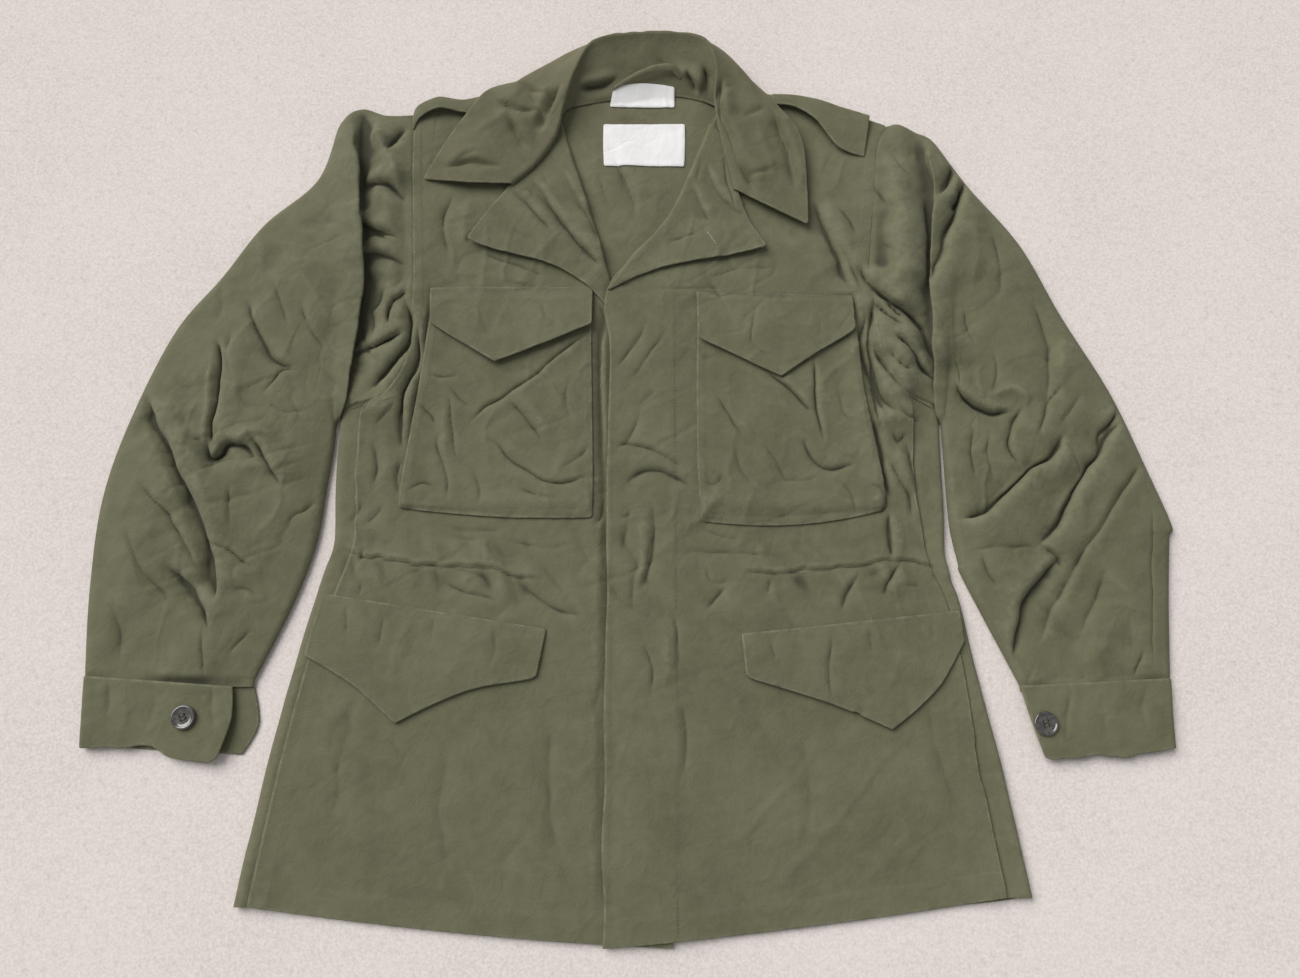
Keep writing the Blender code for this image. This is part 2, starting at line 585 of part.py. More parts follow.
def make_button(name, place):
    """A turned disc with a raised rim and four thread holes."""
    base = CUFF_TOP + DOUBLE / 2 + AIR
    profile = [
        (0, base), (BUTTON_RADIUS * 0.8, base), (BUTTON_RADIUS, base + BUTTON_THICK * 0.45),
        (BUTTON_RADIUS * 0.93, base + BUTTON_THICK), (BUTTON_RADIUS - BUTTON_RIM, base + BUTTON_THICK),
        (BUTTON_RADIUS - BUTTON_RIM * 1.4, base + BUTTON_THICK - BUTTON_DISH),
        (0, base + BUTTON_THICK - BUTTON_DISH),
    ]
    points = [(place.x, place.y, base)]
    for radius, z in profile[1:-1]:
        for k in range(BUTTON_SIDES):
            turn = 2 * math.pi * k / BUTTON_SIDES
            points.append((place.x + radius * math.cos(turn), place.y + radius * math.sin(turn), z))
    points.append((place.x, place.y, profile[-1][1]))
    faces = []
    for k in range(BUTTON_SIDES):
        beside = (k + 1) % BUTTON_SIDES
        faces.append((0, 1 + beside, 1 + k))
        for ring in range(len(profile) - 3):
            low, high = 1 + ring * BUTTON_SIDES, 1 + (ring + 1) * BUTTON_SIDES
            faces.append((low + k, low + beside, high + beside, high + k))
        last = 1 + (len(profile) - 3) * BUTTON_SIDES
        faces.append((last + k, last + beside, len(points) - 1))
    mesh = bpy.data.meshes.new(name)
    mesh.from_pydata([(Vector(p) - ORIGIN) * MM for p in points], [], faces)
    mesh.materials.append(finish(name, BUTTON_GREY))
    button = bpy.data.objects.new(name, mesh)
    bpy.context.collection.objects.link(button)
    for k in range(4):
        turn = math.pi / 4 + math.pi / 2 * k
        aside, up = HOLE_SPREAD * math.cos(turn), HOLE_SPREAD * math.sin(turn)
        centre = Vector((place.x + aside, place.y + up, base))
        bpy.ops.mesh.primitive_cylinder_add(
            vertices=HOLE_SIDES, radius=HOLE_RADIUS * MM, depth=4 * BUTTON_THICK * MM,
            location=(centre - ORIGIN) * MM,
        )
        drill = bpy.context.object
        drill.name = f"{name}_drill_{k}"
        drill.hide_render = True
        drill.display_type = "WIRE"
        cut = button.modifiers.new("hole", "BOOLEAN")
        cut.operation = "DIFFERENCE"
        cut.object = drill


def make_jacket():
    clear_scene()
    make_back()
    make_front("front_right", RIGHT_FRONT, right_height)
    make_front("front_left", LEFT_FRONT, left_height)
    make_sleeve("sleeve_right", RIGHT_SLEEVE, RIGHT_ARMHOLE, -1, RIGHT_SLEEVE_FOLDS)
    make_sleeve("sleeve_left", LEFT_SLEEVE, LEFT_ARMHOLE, 1, LEFT_SLEEVE_FOLDS)
    make_cuff("cuff_right", RIGHT_CUFF)
    make_cuff("cuff_left", LEFT_CUFF)
    make_button("cuff_button_right", RIGHT_BUTTON)
    make_button("cuff_button_left", LEFT_BUTTON)
    make_collar()
    make_lapel("lapel_right", RIGHT_LAPEL, RIGHT_FRONT, right_height, 1)
    make_lapel("lapel_left", LEFT_LAPEL, LEFT_FRONT, left_height, -1)
    pocket_top = PLY + AIR + PLY / 2
    make_pocket("chest_pocket_right", RIGHT_POCKET, right_height)
    make_pocket("chest_pocket_left", LEFT_POCKET, left_height)
    make_flap("chest_flap_right", RIGHT_CHEST_FLAP, right_height, pocket_top + AIR + DOUBLE / 2)
    make_flap("chest_flap_left", LEFT_CHEST_FLAP, left_height, pocket_top + AIR + DOUBLE / 2)
    make_flap("skirt_flap_right", RIGHT_SKIRT_FLAP, right_height, PLY / 2 + AIR + DOUBLE / 2)
    make_flap("skirt_flap_left", LEFT_SKIRT_FLAP, left_height, PLY / 2 + AIR + DOUBLE / 2)
    make_strip("shoulder_loop_right", RIGHT_LOOP, DOUBLE, OLIVE)
    make_strip("shoulder_loop_left", LEFT_LOOP, DOUBLE, OLIVE)
    make_strip("hanger_loop", HANGER_LOOP, PLY, OLIVE)
    make_label("neck_label", NECK_LABEL, PLY / 2 + AIR + LABEL / 2)
    make_label("size_label", SIZE_LABEL, PLY / 2 + AIR + LABEL / 2)


make_jacket()
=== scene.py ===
"""Cloth, thread and buttons of a cotton field jacket that lies face up on a floor.

Tables are in millimetres: +X runs to the wearer's left, +Y to the collar and +Z up from the
floor. ORIGIN and MM take them to the frame. Only the main creases are noted another way, in
pixels of the view. Every piece of cloth is a grid of points in the middle of its wall, which
shell() gives its thickness and its rounded edges.
"""
import math
from collections import namedtuple

import bpy
import numpy as np
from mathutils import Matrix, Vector


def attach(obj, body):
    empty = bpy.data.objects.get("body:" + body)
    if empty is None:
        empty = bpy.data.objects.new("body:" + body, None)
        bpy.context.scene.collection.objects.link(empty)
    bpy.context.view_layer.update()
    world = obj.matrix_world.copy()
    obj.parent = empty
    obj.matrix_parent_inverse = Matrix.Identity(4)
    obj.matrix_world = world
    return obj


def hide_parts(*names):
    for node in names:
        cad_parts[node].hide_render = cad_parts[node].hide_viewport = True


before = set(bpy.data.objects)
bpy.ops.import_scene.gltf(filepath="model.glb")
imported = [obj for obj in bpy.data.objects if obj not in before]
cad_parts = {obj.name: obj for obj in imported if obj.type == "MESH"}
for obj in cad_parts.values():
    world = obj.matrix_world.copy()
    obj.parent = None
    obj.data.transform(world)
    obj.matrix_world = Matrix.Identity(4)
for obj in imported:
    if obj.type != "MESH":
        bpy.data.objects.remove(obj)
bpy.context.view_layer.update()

MM = 0.001
ORIGIN = np.array((0.83, -6.58, 0.0))  # the middle of the jacket's outline, on the floor

# The wearer's sides, and which way along X the middle is from each
RIGHT, LEFT = 1, -1
WORDS = {RIGHT: "right", LEFT: "left"}

# Cloth walls and the room between them
PLY = 1.2
DOUBLE = 1.8
LABEL = 0.7
AIR = 0.4
LAID_ON = PLY / 2 + AIR + DOUBLE / 2  # from the middle of a front to that of what lies on it
TURNING = 5  # grid cells that an edge is turned in on the hidden side
SLEEVE_TURNING = 6

# Grid spacing
FRONT_STEP = 1.92
SLEEVE_STEP = 2.22
POCKET_STEP = 1.5
BACK_STEP = 2.7
CUFF_STEP = 1.7
COLLAR_STEP = 2.0
LAPEL_STEP = 1.6
FLAP_STEP = 1.45
STRIP_STEP = 1.2
SIDE_STEP = 2.2
COARSER = 2.6  # how many times wider the back's grid is, where it is covered

# Widths that the grids of pieces are laid out on, and the radii of cut corners
COLLAR_WIDE = 104
LAPEL_WIDE = 128
POCKET_WIDE = 160
LABEL_WIDE = 74
LAPEL_CORNER = 2.5
INNER_CORNER = 2.5
LABEL_CORNER = 1.5

# Heights of the middle of the cloth
FLOOR_LAYER = PLY / 2
UPPER_LAYER = 5.0  # over a folded edge
SETTLED = 2.6  # fronts at their hem, on the back
LOFT = 3.0  # how much higher the fronts lie away from their hem
SHOULDER_LINE = 2.4
ON_BACK = 2.1  # the right front, where it lies flat
OVERLAP_RISE = 1.9
SEAM_TOP = 5.05  # the back's side fold, on top
CUFF_TOP = 6.0

# Widths of rolled edges
FOLD_REACH = 30.0  # a front that slopes down from its side fold
FOLD_ROUND = 6.0  # a sleeve's fold
CUFF_FOLD = 3.2
LAPEL_ROLL = 2.6

# How strongly the creases' noted rise shows, and the rise that the strongest ones near
RELIEF = 1.5
STRONGEST = 11.5

# Fly edge and waist
LEFT_FLY_X = -20.0
RIGHT_FLY_X = 35.0
OVERLAP_END_X = 85.0
BREAK_Y = 150.0  # where the lapels break from the fronts' edges
OVERLAP_TOP_Y = 190.0
FLY_STITCH_X = 39.0
HEM_STITCH = 19  # above the hem
SIDE_STITCH = 12  # beside the side seam

# Rows of the body's tables
WAIST_ROW = 5
ARMPIT_ROW = 8
NECK_ROW = 10.6

Point = namedtuple("Point", "x y")
Section = namedtuple("Section", "side_x side_y middle_x middle_y bow")
BackSection = namedtuple("BackSection", "right_fold_x left_fold_x bow")
Lapel = namedtuple("Lapel", "free_x free_y roll_x roll_y bow")
SleeveSection = namedtuple(
    "SleeveSection", "outer_x outer_y upper_x upper_y lower_x lower_y inner_x inner_y crest"
)
CollarSection = namedtuple(
    "CollarSection",
    "foot_x foot_y foot_z roll_x roll_y roll_z brow_x brow_y brow_z edge_x edge_y edge_z",
)
CuffSection = namedtuple("CuffSection", "outer_x outer_y upper_x upper_y under_x under_y")
Strip = namedtuple("Strip", "near_x near_y near_z far_x far_y far_z")
FlapCut = namedtuple("FlapCut", "top left_edge right_edge left_lift point_lift right_lift")

# The view that the main creases are noted in: its size and focal length in pixels, and its
# camera, level across and tilted towards the collar
VIEW = Point(1300, 978)
FOCAL = 1052
CAMERA = Point(17.2, -290)
CAMERA_HEIGHT = 905
CAMERA_TILT = math.radians(15)

# left and right are a crease's widths beside its path, rise its height or, below 0, depth, and
# lean how far its left lip is pushed over it; below 0, its right one. A noted crease's path is
# in pixels of the view, and its height is over the floor, where it isn't its table's own
Crease = namedtuple("Crease", "left right rise path lean", defaults=[0])
Noted = namedtuple("Noted", "left right rise path lean height", defaults=[0, None])


def on_plan(pixel, height):
    """The place on the floor plan, to a whole millimetre, of a point seen at a pixel."""
    aside, up = (pixel[0] - VIEW.x / 2) / FOCAL, (VIEW.y / 2 - pixel[1]) / FOCAL
    sine, cosine = math.sin(CAMERA_TILT), math.cos(CAMERA_TILT)
    reach = (CAMERA_HEIGHT - height) / (cosine - up * sine)
    return round(CAMERA.x + aside * reach), round(CAMERA.y + (sine + up * cosine) * reach)


def table(columns, rows):
    """Rows with the names of their columns."""
    return [columns(*row) for row in rows]


def traced(table_height, rows):
    """Creases on the floor plan from the ones noted in the view."""
    creases = []
    for row in table(Noted, rows):
        pixels = [[int(number) for number in pair.split(",")] for pair in row.path.split()]
        path = [on_plan(pixel, row.height or table_height) for pixel in pixels]
        creases.append(Crease(row.left, row.right, row.rise, path, row.lean))
    return creases


# Armhole seams, from the armpit up to the shoulder
RIGHT_ARMHOLE = table(Point, [
    (-262, 26), (-243, 33), (-224, 38), (-205, 75),
    (-202, 130), (-206, 205), (-211, 285), (-213, 331),
])
LEFT_ARMHOLE = table(Point, [
    (277, 28), (259, 38), (243, 45), (228, 85),
    (221, 150), (227, 220), (236, 290), (247, 318),
])
ARMHOLES = {RIGHT: RIGHT_ARMHOLE, LEFT: LEFT_ARMHOLE}

# Fronts, from the hem to the shoulder; the side is the side seam, then the armhole
FRONTS = {RIGHT: table(Section, [
    (-305, -395, RIGHT_FLY_X, -426, -4),  # hem
    (-291, -300, RIGHT_FLY_X, -322, -2),
    (-272, -197, RIGHT_FLY_X, -222, -2),
    (-255, -145, RIGHT_FLY_X, -166, -2),
    (-245, -114, RIGHT_FLY_X, -140, -2),
    (-241, -98, RIGHT_FLY_X, -127, -2),  # waist
    (-241, -82, RIGHT_FLY_X, -112, -2),
    (-243, -35, RIGHT_FLY_X, -55, 0),
    (-243, 24, RIGHT_FLY_X, 20, 0),  # armpit
    (*RIGHT_ARMHOLE[2], RIGHT_FLY_X, 55, 0),
    (*RIGHT_ARMHOLE[3], 32, 92, 0),
    (*RIGHT_ARMHOLE[4], -19.5, BREAK_Y, 0),
    (*RIGHT_ARMHOLE[5], -37.5, 208, 0),
    (*RIGHT_ARMHOLE[6], -61.5, 285, 2),
    (*RIGHT_ARMHOLE[7], -82, 360, 6),  # shoulder
]), LEFT: table(Section, [
    (303, -388, LEFT_FLY_X, -426, -3),  # hem
    (291, -300, LEFT_FLY_X, -330, -2),
    (281, -200, LEFT_FLY_X, -228, -2),
    (272, -152, LEFT_FLY_X, -166, 0),
    (262, -126, LEFT_FLY_X, -140, 0),
    (258, -112, LEFT_FLY_X, -127, 0),  # waist
    (256, -98, LEFT_FLY_X, -113, 0),
    (252, -45, LEFT_FLY_X, -60, 0),
    (252, 26, LEFT_FLY_X, 18, 0),  # armpit
    (*LEFT_ARMHOLE[2], LEFT_FLY_X, 52, 0),
    (*LEFT_ARMHOLE[3], LEFT_FLY_X, 92, 0),
    (*LEFT_ARMHOLE[4], LEFT_FLY_X, BREAK_Y - 2, 0),
    (*LEFT_ARMHOLE[5], 33, 212, 0),
    (*LEFT_ARMHOLE[6], 66, 287, 2),
    (*LEFT_ARMHOLE[7], 92, 360, 6),  # shoulder
])}

# Back: the folds at its sides, on the same rows as the fronts, then the armholes
BACK = table(BackSection, [
    (-316, 324, -14),  # hem
    (-302, 310, -10),
    (-283, 292, -5),
    (-271, 284, 0),
    (-263, 277, 0),
    (-258, 274, 0),  # waist
    (-259, 274, 0),
    (-262, 276, 0),
    (-262, 277, 0),  # armpit
])
BACK += table(BackSection, [
    (RIGHT_ARMHOLE[k].x, LEFT_ARMHOLE[k].x, bow)
    for k, bow in ((2, 0), (3, 0), (4, 0), (5, 0), (6, 14), (7, 43))  # up to the neck
])

# Sleeves, from the cuff seam to the fold over the armhole
SLEEVES = {RIGHT: table(SleeveSection, [
    (-461, -212, -412, -214, -365, -216, -318, -216, 5.6),  # cuff seam
    (-467, -140, -406, -148, -349, -152, -291, -152, 9),
    (-467, -60, -400, -74, -337, -88, -275, -98, 11.5),
    (-452, 14, -388, -4, -326, -28, -270, -48, 13),  # elbow
    (-421, 101, -366, 68, -314, 24, -267, -16, 12.5),
    (-383, 157, -342, 112, -300, 56, -266.5, -3, 12.5),
    (-349, 211, -316, 150, -286, 75, -266.5, 4, 13.5),
    (-302, 259, -283, 180, -272, 88, -266.5, 9, 13),
    (-284, 321, -266, 222, -258, 110, -266, 14, 18),  # fold over the armhole
    (-266, 337, -255, 222, -251, 107, -265.5, 18, 2.6),  # valley beside it
    (-241, 330, -230, 215, -227, 92, -265, 22, 7.5),
]), LEFT: table(SleeveSection, [
    (457, -214, 415, -216, 372, -218, 330, -220, 5.6),  # cuff seam
    (464, -150, 410, -158, 358, -160, 305, -165, 9),
    (472, -93, 409, -103, 347, -114, 287, -124, 11.5),
    (475.5, -82, 408, -93, 346, -105, 286, -116, 12),
    (460, -32, 400, -50, 340, -68, 281, -85, 13),  # elbow
    (435, 41, 383, 18, 331, -14, 280, -48, 13),
    (398, 117, 358, 84, 318, 36, 280, -22, 12.5),
    (366, 190, 337, 140, 308, 72, 280, -5, 13.5),
    (322, 252, 309, 183, 295, 98, 280, 6, 13),
    (292, 300, 294, 225, 286, 125, 280, 13, 18),  # fold over the armhole
    (276, 311, 283, 228, 277, 122, 279.5, 18, 2.6),  # valley beside it
    (260, 320, 254, 225, 250, 115, 279, 22, 11),
])}

# Cuffs, from the sleeve seam to the wrist edge: outer fold, then the two free ends
CUFFS = {RIGHT: table(CuffSection, [
    (-461, -213.4, -335, -222, -318, -222),
    (-459, -242, -333, -250, -312, -252),
    (-457, -269, -341, -282, -323, -276),
]), LEFT: table(CuffSection, [
    (457, -215.4, 330, -221.4, 334, -221.4),
    (455, -243, 337, -252, 341, -250),
    (454, -271, 345, -280, 349, -276),
])}

# Collar, from the end on the wearer's right round the neck to the end on the left:
# the neck seam, the roll, the brow of the fall and its free edge
COLLAR = table(CollarSection, [
    (-120, 251, 8, -114, 253, 9, -155, 253, 11.5, -199, 257, 10.5),
    (-98, 271, 8, -92, 275, 9.8, -138, 285, 12.3, -181, 293, 11),
    (-79, 296, 7.4, -74, 303, 11.6, -121, 319, 13.8, -162, 324, 12.6),
    (-71, 320, 6, -66, 335, 17.5, -110, 352, 16, -139, 353, 13),
    (-66, 336, 4.5, -55, 369, 24, -86, 378, 15, -99, 369, 4),
    (-44, 344, 3.4, -34, 401, 25, -42, 403, 13, -48, 384, 1.6),
    (22, 354, 3.4, 22, 408, 25, 22, 412, 13, 22, 384, 1.6),  # back of the neck
    (62, 349, 3.4, 68, 402, 25, 78, 403, 13, 80, 382, 1.6),
    (86, 338, 4.5, 81, 374, 24, 106, 374, 15, 122, 362, 4),
    (95, 321, 6, 80, 340, 17.5, 116, 344, 16, 144, 331, 12),
    (98, 300, 7.4, 85, 305, 11.8, 124, 304, 13.8, 162, 300, 11),
    (100, 272, 8, 92, 274, 9.8, 128, 264, 12.4, 166, 255, 11),
    (104, 248, 8, 98, 247, 9, 130, 228, 11.5, 166, 209, 10.5),
])

# Lapels, from the lower edge to the collar notch: the free edge, and the roll along the front
LAPELS = {RIGHT: table(Lapel, [
    (-154, 193, -16, 118, 19), (-135, 225, -34, 196, 0), (-114, 258, -54, 262, 0),
    (-98, 290, -72, 322, 0),
]), LEFT: table(Lapel, [
    (126, 185, -20, 143, 7), (111, 214, 27, 205, 0), (100, 250, 58, 268, 0),
    (98, 284, 78, 320, 0),
])}

# Chest pockets, from the mouth to the bottom
POCKETS = {RIGHT: table(Section, [
    (-184, 128, -38, 132, 0),
    (-192, 45, -36, 45, 0),
    (-201, -30, -34, -30, 0),
    (-204, -66, -34, -75, -4),
]), LEFT: table(Section, [
    (205, 126, 62, 130, 0),
    (210, 45, 60, 45, 0),
    (221, -30, 60, -30, 0),
    (226, -67, 62, -78, -9),
])}

# Flaps: the two ends of the seam, then the free edge down each side to the point
CHEST_FLAPS = {RIGHT: FlapCut(
    [(-186, 143), (-37, 145)],
    [(-186, 143), (-185, 120), (-184, 111), (-181, 106), (-155, 89), (-124, 70)],
    [(-37, 145), (-37, 120), (-37, 108), (-42, 104), (-83, 86), (-124, 70)],
    1.0, 4.0, 5.5,
), LEFT: FlapCut(
    [(61, 138), (204, 135)],
    [(61, 138), (61, 110), (62, 97), (66, 91), (86, 81), (109, 69), (136, 56)],
    [(204, 135), (205, 112), (204, 102), (200, 97), (184, 88), (164, 76), (136, 56)],
    3.0, 2.0, 2.5,
)}
SKIRT_FLAPS = {RIGHT: FlapCut(
    [(-264, -143), (-72, -174)],
    [(-264, -143), (-271, -175), (-275, -195), (-251, -208), (-225, -225), (-195, -251)],
    [(-72, -174), (-75, -200), (-79, -211), (-86, -215), (-127, -222), (-158, -233), (-195, -251)],
    1.5, 1.6, 1.2,
), LEFT: FlapCut(
    [(96, -178), (282, -158)],
    [(96, -178), (97, -203), (99, -211), (105, -215), (135, -224), (175, -237), (219, -256)],
    [(282, -158), (289, -168), (284, -183), (263, -217), (243, -237), (219, -256)],
    1.5, 2.0, 1.2,
)}

# Shoulder loops, from the armhole to the collar; near is the lower edge, far the one behind
SHOULDER_LOOPS = {RIGHT: table(Strip, [
    (-213, 313, 7.4, -213.5, 329, 6),
    (-207, 326, 8.4, -209, 339, 6.6),
    (-189, 334, 11.6, -190, 347, 8.6),
    (-167, 331, 9.8, -168, 345, 7.2),
    (-146, 329, 7.4, -146, 348, 7),
]), LEFT: table(Strip, [
    (223, 283, 8, 231, 328, 6.4),
    (199, 292, 11, 204, 336, 8),
    (178, 321, 13, 182, 344, 9),
    (158, 337, 10, 160, 350, 7.4),
    (136, 341, 7.4, 138, 352, 6.2),
])}
HANGER_LOOP = table(Strip, [
    (-19, 355.5, 8.8, -16, 360, 10),
    (-6, 361.5, 12.4, -4, 366.5, 14),
    (8, 367, 16, 10, 372.3, 17.6),
    (24, 371, 18, 25, 376.4, 19.6),
    (38, 371, 17.6, 40, 376.4, 19),
    (46, 366, 11.8, 51, 368.5, 12.6),
])

# Ends of the worn buttonhole in the left lapel
BUTTONHOLE = [(71, 201), (79, 188)]

# Labels, from the top edge to the bottom one
NECK_LABEL = table(Section, [
    (-18, 358, 41, 359, 4), (-20, 350, 41, 350, 2), (-22, 341, 41, 340, 0),
])
SIZE_LABEL = table(Section, [
    (-28, 321, 51, 321, 0), (-28, 298, 51, 298, 0), (-27, 275, 50, 275, 0),
])

# Wrist edges of the cuffs' upper sides, from one end to the other
CUFF_EDGES = {
    RIGHT: [(-457, -271), (-423, -271), (-396, -269), (-384, -276), (-370, -281), (-348, -283),
        (-341, -279)],
    LEFT: [(345, -279), (352, -281), (370, -279), (390, -277), (412, -277.5), (432, -275), (454, -271)],
}

# Where the cuff buttons are sewn on
BUTTONS = {RIGHT: Point(-372, -247), LEFT: Point(347, -252)}
BUTTON_TURNS = {RIGHT: 0.5, LEFT: 0.2}

# Main creases, noted in the view
SLEEVE_CREASES = {RIGHT: traced(10, [
    (4, 5.5, -7, "214,336 222,358 222,375 219,400 216,420 213,452", 2),
    (3, 3, 2.2, "212,350 210,380 208,410 207,440 211,458"),
    (3.4, 9, -5, "209,436 213,458 222,454 229,445 238,444 248,448 256,466"),
    (3.6, 9, -4.6, "248,434 260,448 266,462 272,474 287,489"),
    (7, 4, 2.6, "226,436 240,438 254,432 270,436 284,446"),
    (20, 18, 3.2, "124,400 140,432 156,466 172,503 184,543 192,585", 0, 12),
    (5, 24, -8.8, "144,392 160,430 171,455 183,480 195,505 203,525 210,548 213,570 215,606"),
    (7, 7, 2.4, "166,400 180,430 196,462 206,492 210,515"),
    (3.5, 4.5, -2.2, "130,480 145,498 160,515 172,533 184,555 195,578"),
    (4, 10, -4.2, "158,562 185,588 197,600 205,612 210,638"),
    (6, 6, -1.8, "118,520 135,555 152,585 172,610"),
    (2.2, 2.8, -2.4, "202,533 215,543 232,552 245,563 260,573"),
    (7, 10, -3.4, "246,296 256,326 264,344 274,360 288,366 304,362"),
    (5, 6, -1.8, "272,274 284,305 291,334"),
    (3, 3, -1.8, "304,370 283,371 270,384 260,398"),
    (4, 4, -2, "318,500 304,510 292,516 284,532"),
    (4, 6, -2, "232,330 230,352 236,380"),
    (5, 5, 1.6, "240,372 238,400 238,424"),
    (5, 5, -1.4, "232,480 230,510 232,535"),
    (4, 4, -1.4, "262,400 284,412 306,410"),
    (6, 6, -1.8, "300,300 312,330 328,352"),
    (8, 8, 2.2, "300,270 318,300 336,330"),
    (5, 5, -1.5, "232,590 248,590 262,600"),
    (3, 3, -1.6, "203,622 203,650 204,682", 0, 8),
    (9, 9, -2, "112,600 118,630 116,665", 0, 8),
    (4, 4, -1.6, "228,655 240,640 252,630", 0, 8),
    (10, 10, 1.8, "250,225 262,260 266,300"),
    (9, 9, -1.6, "215,260 222,300 214,330"),
]), LEFT: traced(10, [
    (3.5, 8, -6.4, "952,380 966,400 978,409 995,412 1014,408"),
    (4, 4, 2.6, "988,400 1000,392 1014,389 1025,397 1022,410"),
    (4, 5, -3, "1024,404 1014,422 1009,443 1015,458 1021,468"),
    (4, 12, -7, "1067,430 1050,457 1032,468 1016,484 1001,500 985,514 956,519", 2),
    (6, 4, 2.6, "1052,448 1034,460 1018,474 1002,490 984,504"),
    (4.4, 16, -7.2, "1128,418 1108,440 1095,464 1079,487 1067,508 1056,530 1036,548", 3),
    (3, 3, -4, "1110,398 1118,411 1110,424 1097,432 1098,446"),
    (5, 5, 2.6, "1086,462 1070,484 1058,506 1044,528"),
    (14, 4, -4.6, "1064,552 1048,568 1034,586 1024,602 1019,622 1015,660"),
    (6, 6, -2.4, "1040,546 1056,556 1064,572"),
    (2.6, 9, -2, "1148,458 1122,493 1104,523 1088,548 1074,572 1062,600 1040,648"),
    (7, 7, 1.6, "1134,462 1114,490 1096,520 1080,546"),
    (6, 7, -1.4, "968,552 1000,546 1044,547"),
    (8, 11, -2.4, "1030,296 1042,325 1049,350 1048,380 1042,420"),
    (3.5, 3.5, -2, "1070,382 1052,400 1043,420 1036,440"),
    (4, 4, -1.6, "1084,392 1066,412 1060,430"),
    (5, 5, -1.8, "962,305 966,330 976,350"),
    (4, 4, -1.8, "993,350 998,372 992,395"),
    (5, 5, 1.8, "978,360 980,385 984,402"),
    (4, 4, -1.6, "950,350 958,372 958,388"),
    (7, 7, 2, "1062,330 1066,360 1062,384"),
    (3.5, 3.5, -1.8, "975,425 972,450 976,480"),
    (4, 4, -1.4, "990,425 988,452 992,480"),
    (3.5, 3.5, -1.6, "1062,440 1072,456 1076,474"),
    (5, 5, -1.6, "982,552 990,575 1002,590"),
    (2.4, 2.4, -1.2, "1154,500 1152,540 1152,600 1156,670", 0, 8),
    (3, 3, -2, "1146,650 1140,664 1135,678", 0, 8),
    (8, 8, -1.8, "1110,560 1096,600 1080,640"),
    (8, 8, 1.6, "1120,600 1108,640 1090,670"),
    (4, 4, -1.6, "1036,668 1024,682 1012,690", 0, 8),
    (9, 9, -1.8, "990,225 1000,262 1003,300", 0, 12),
    (8, 8, 2, "972,205 976,250 970,300", 0, 12),
    (5, 5, -1.4, "1000,190 1012,215 1022,245", 0, 12),
])}
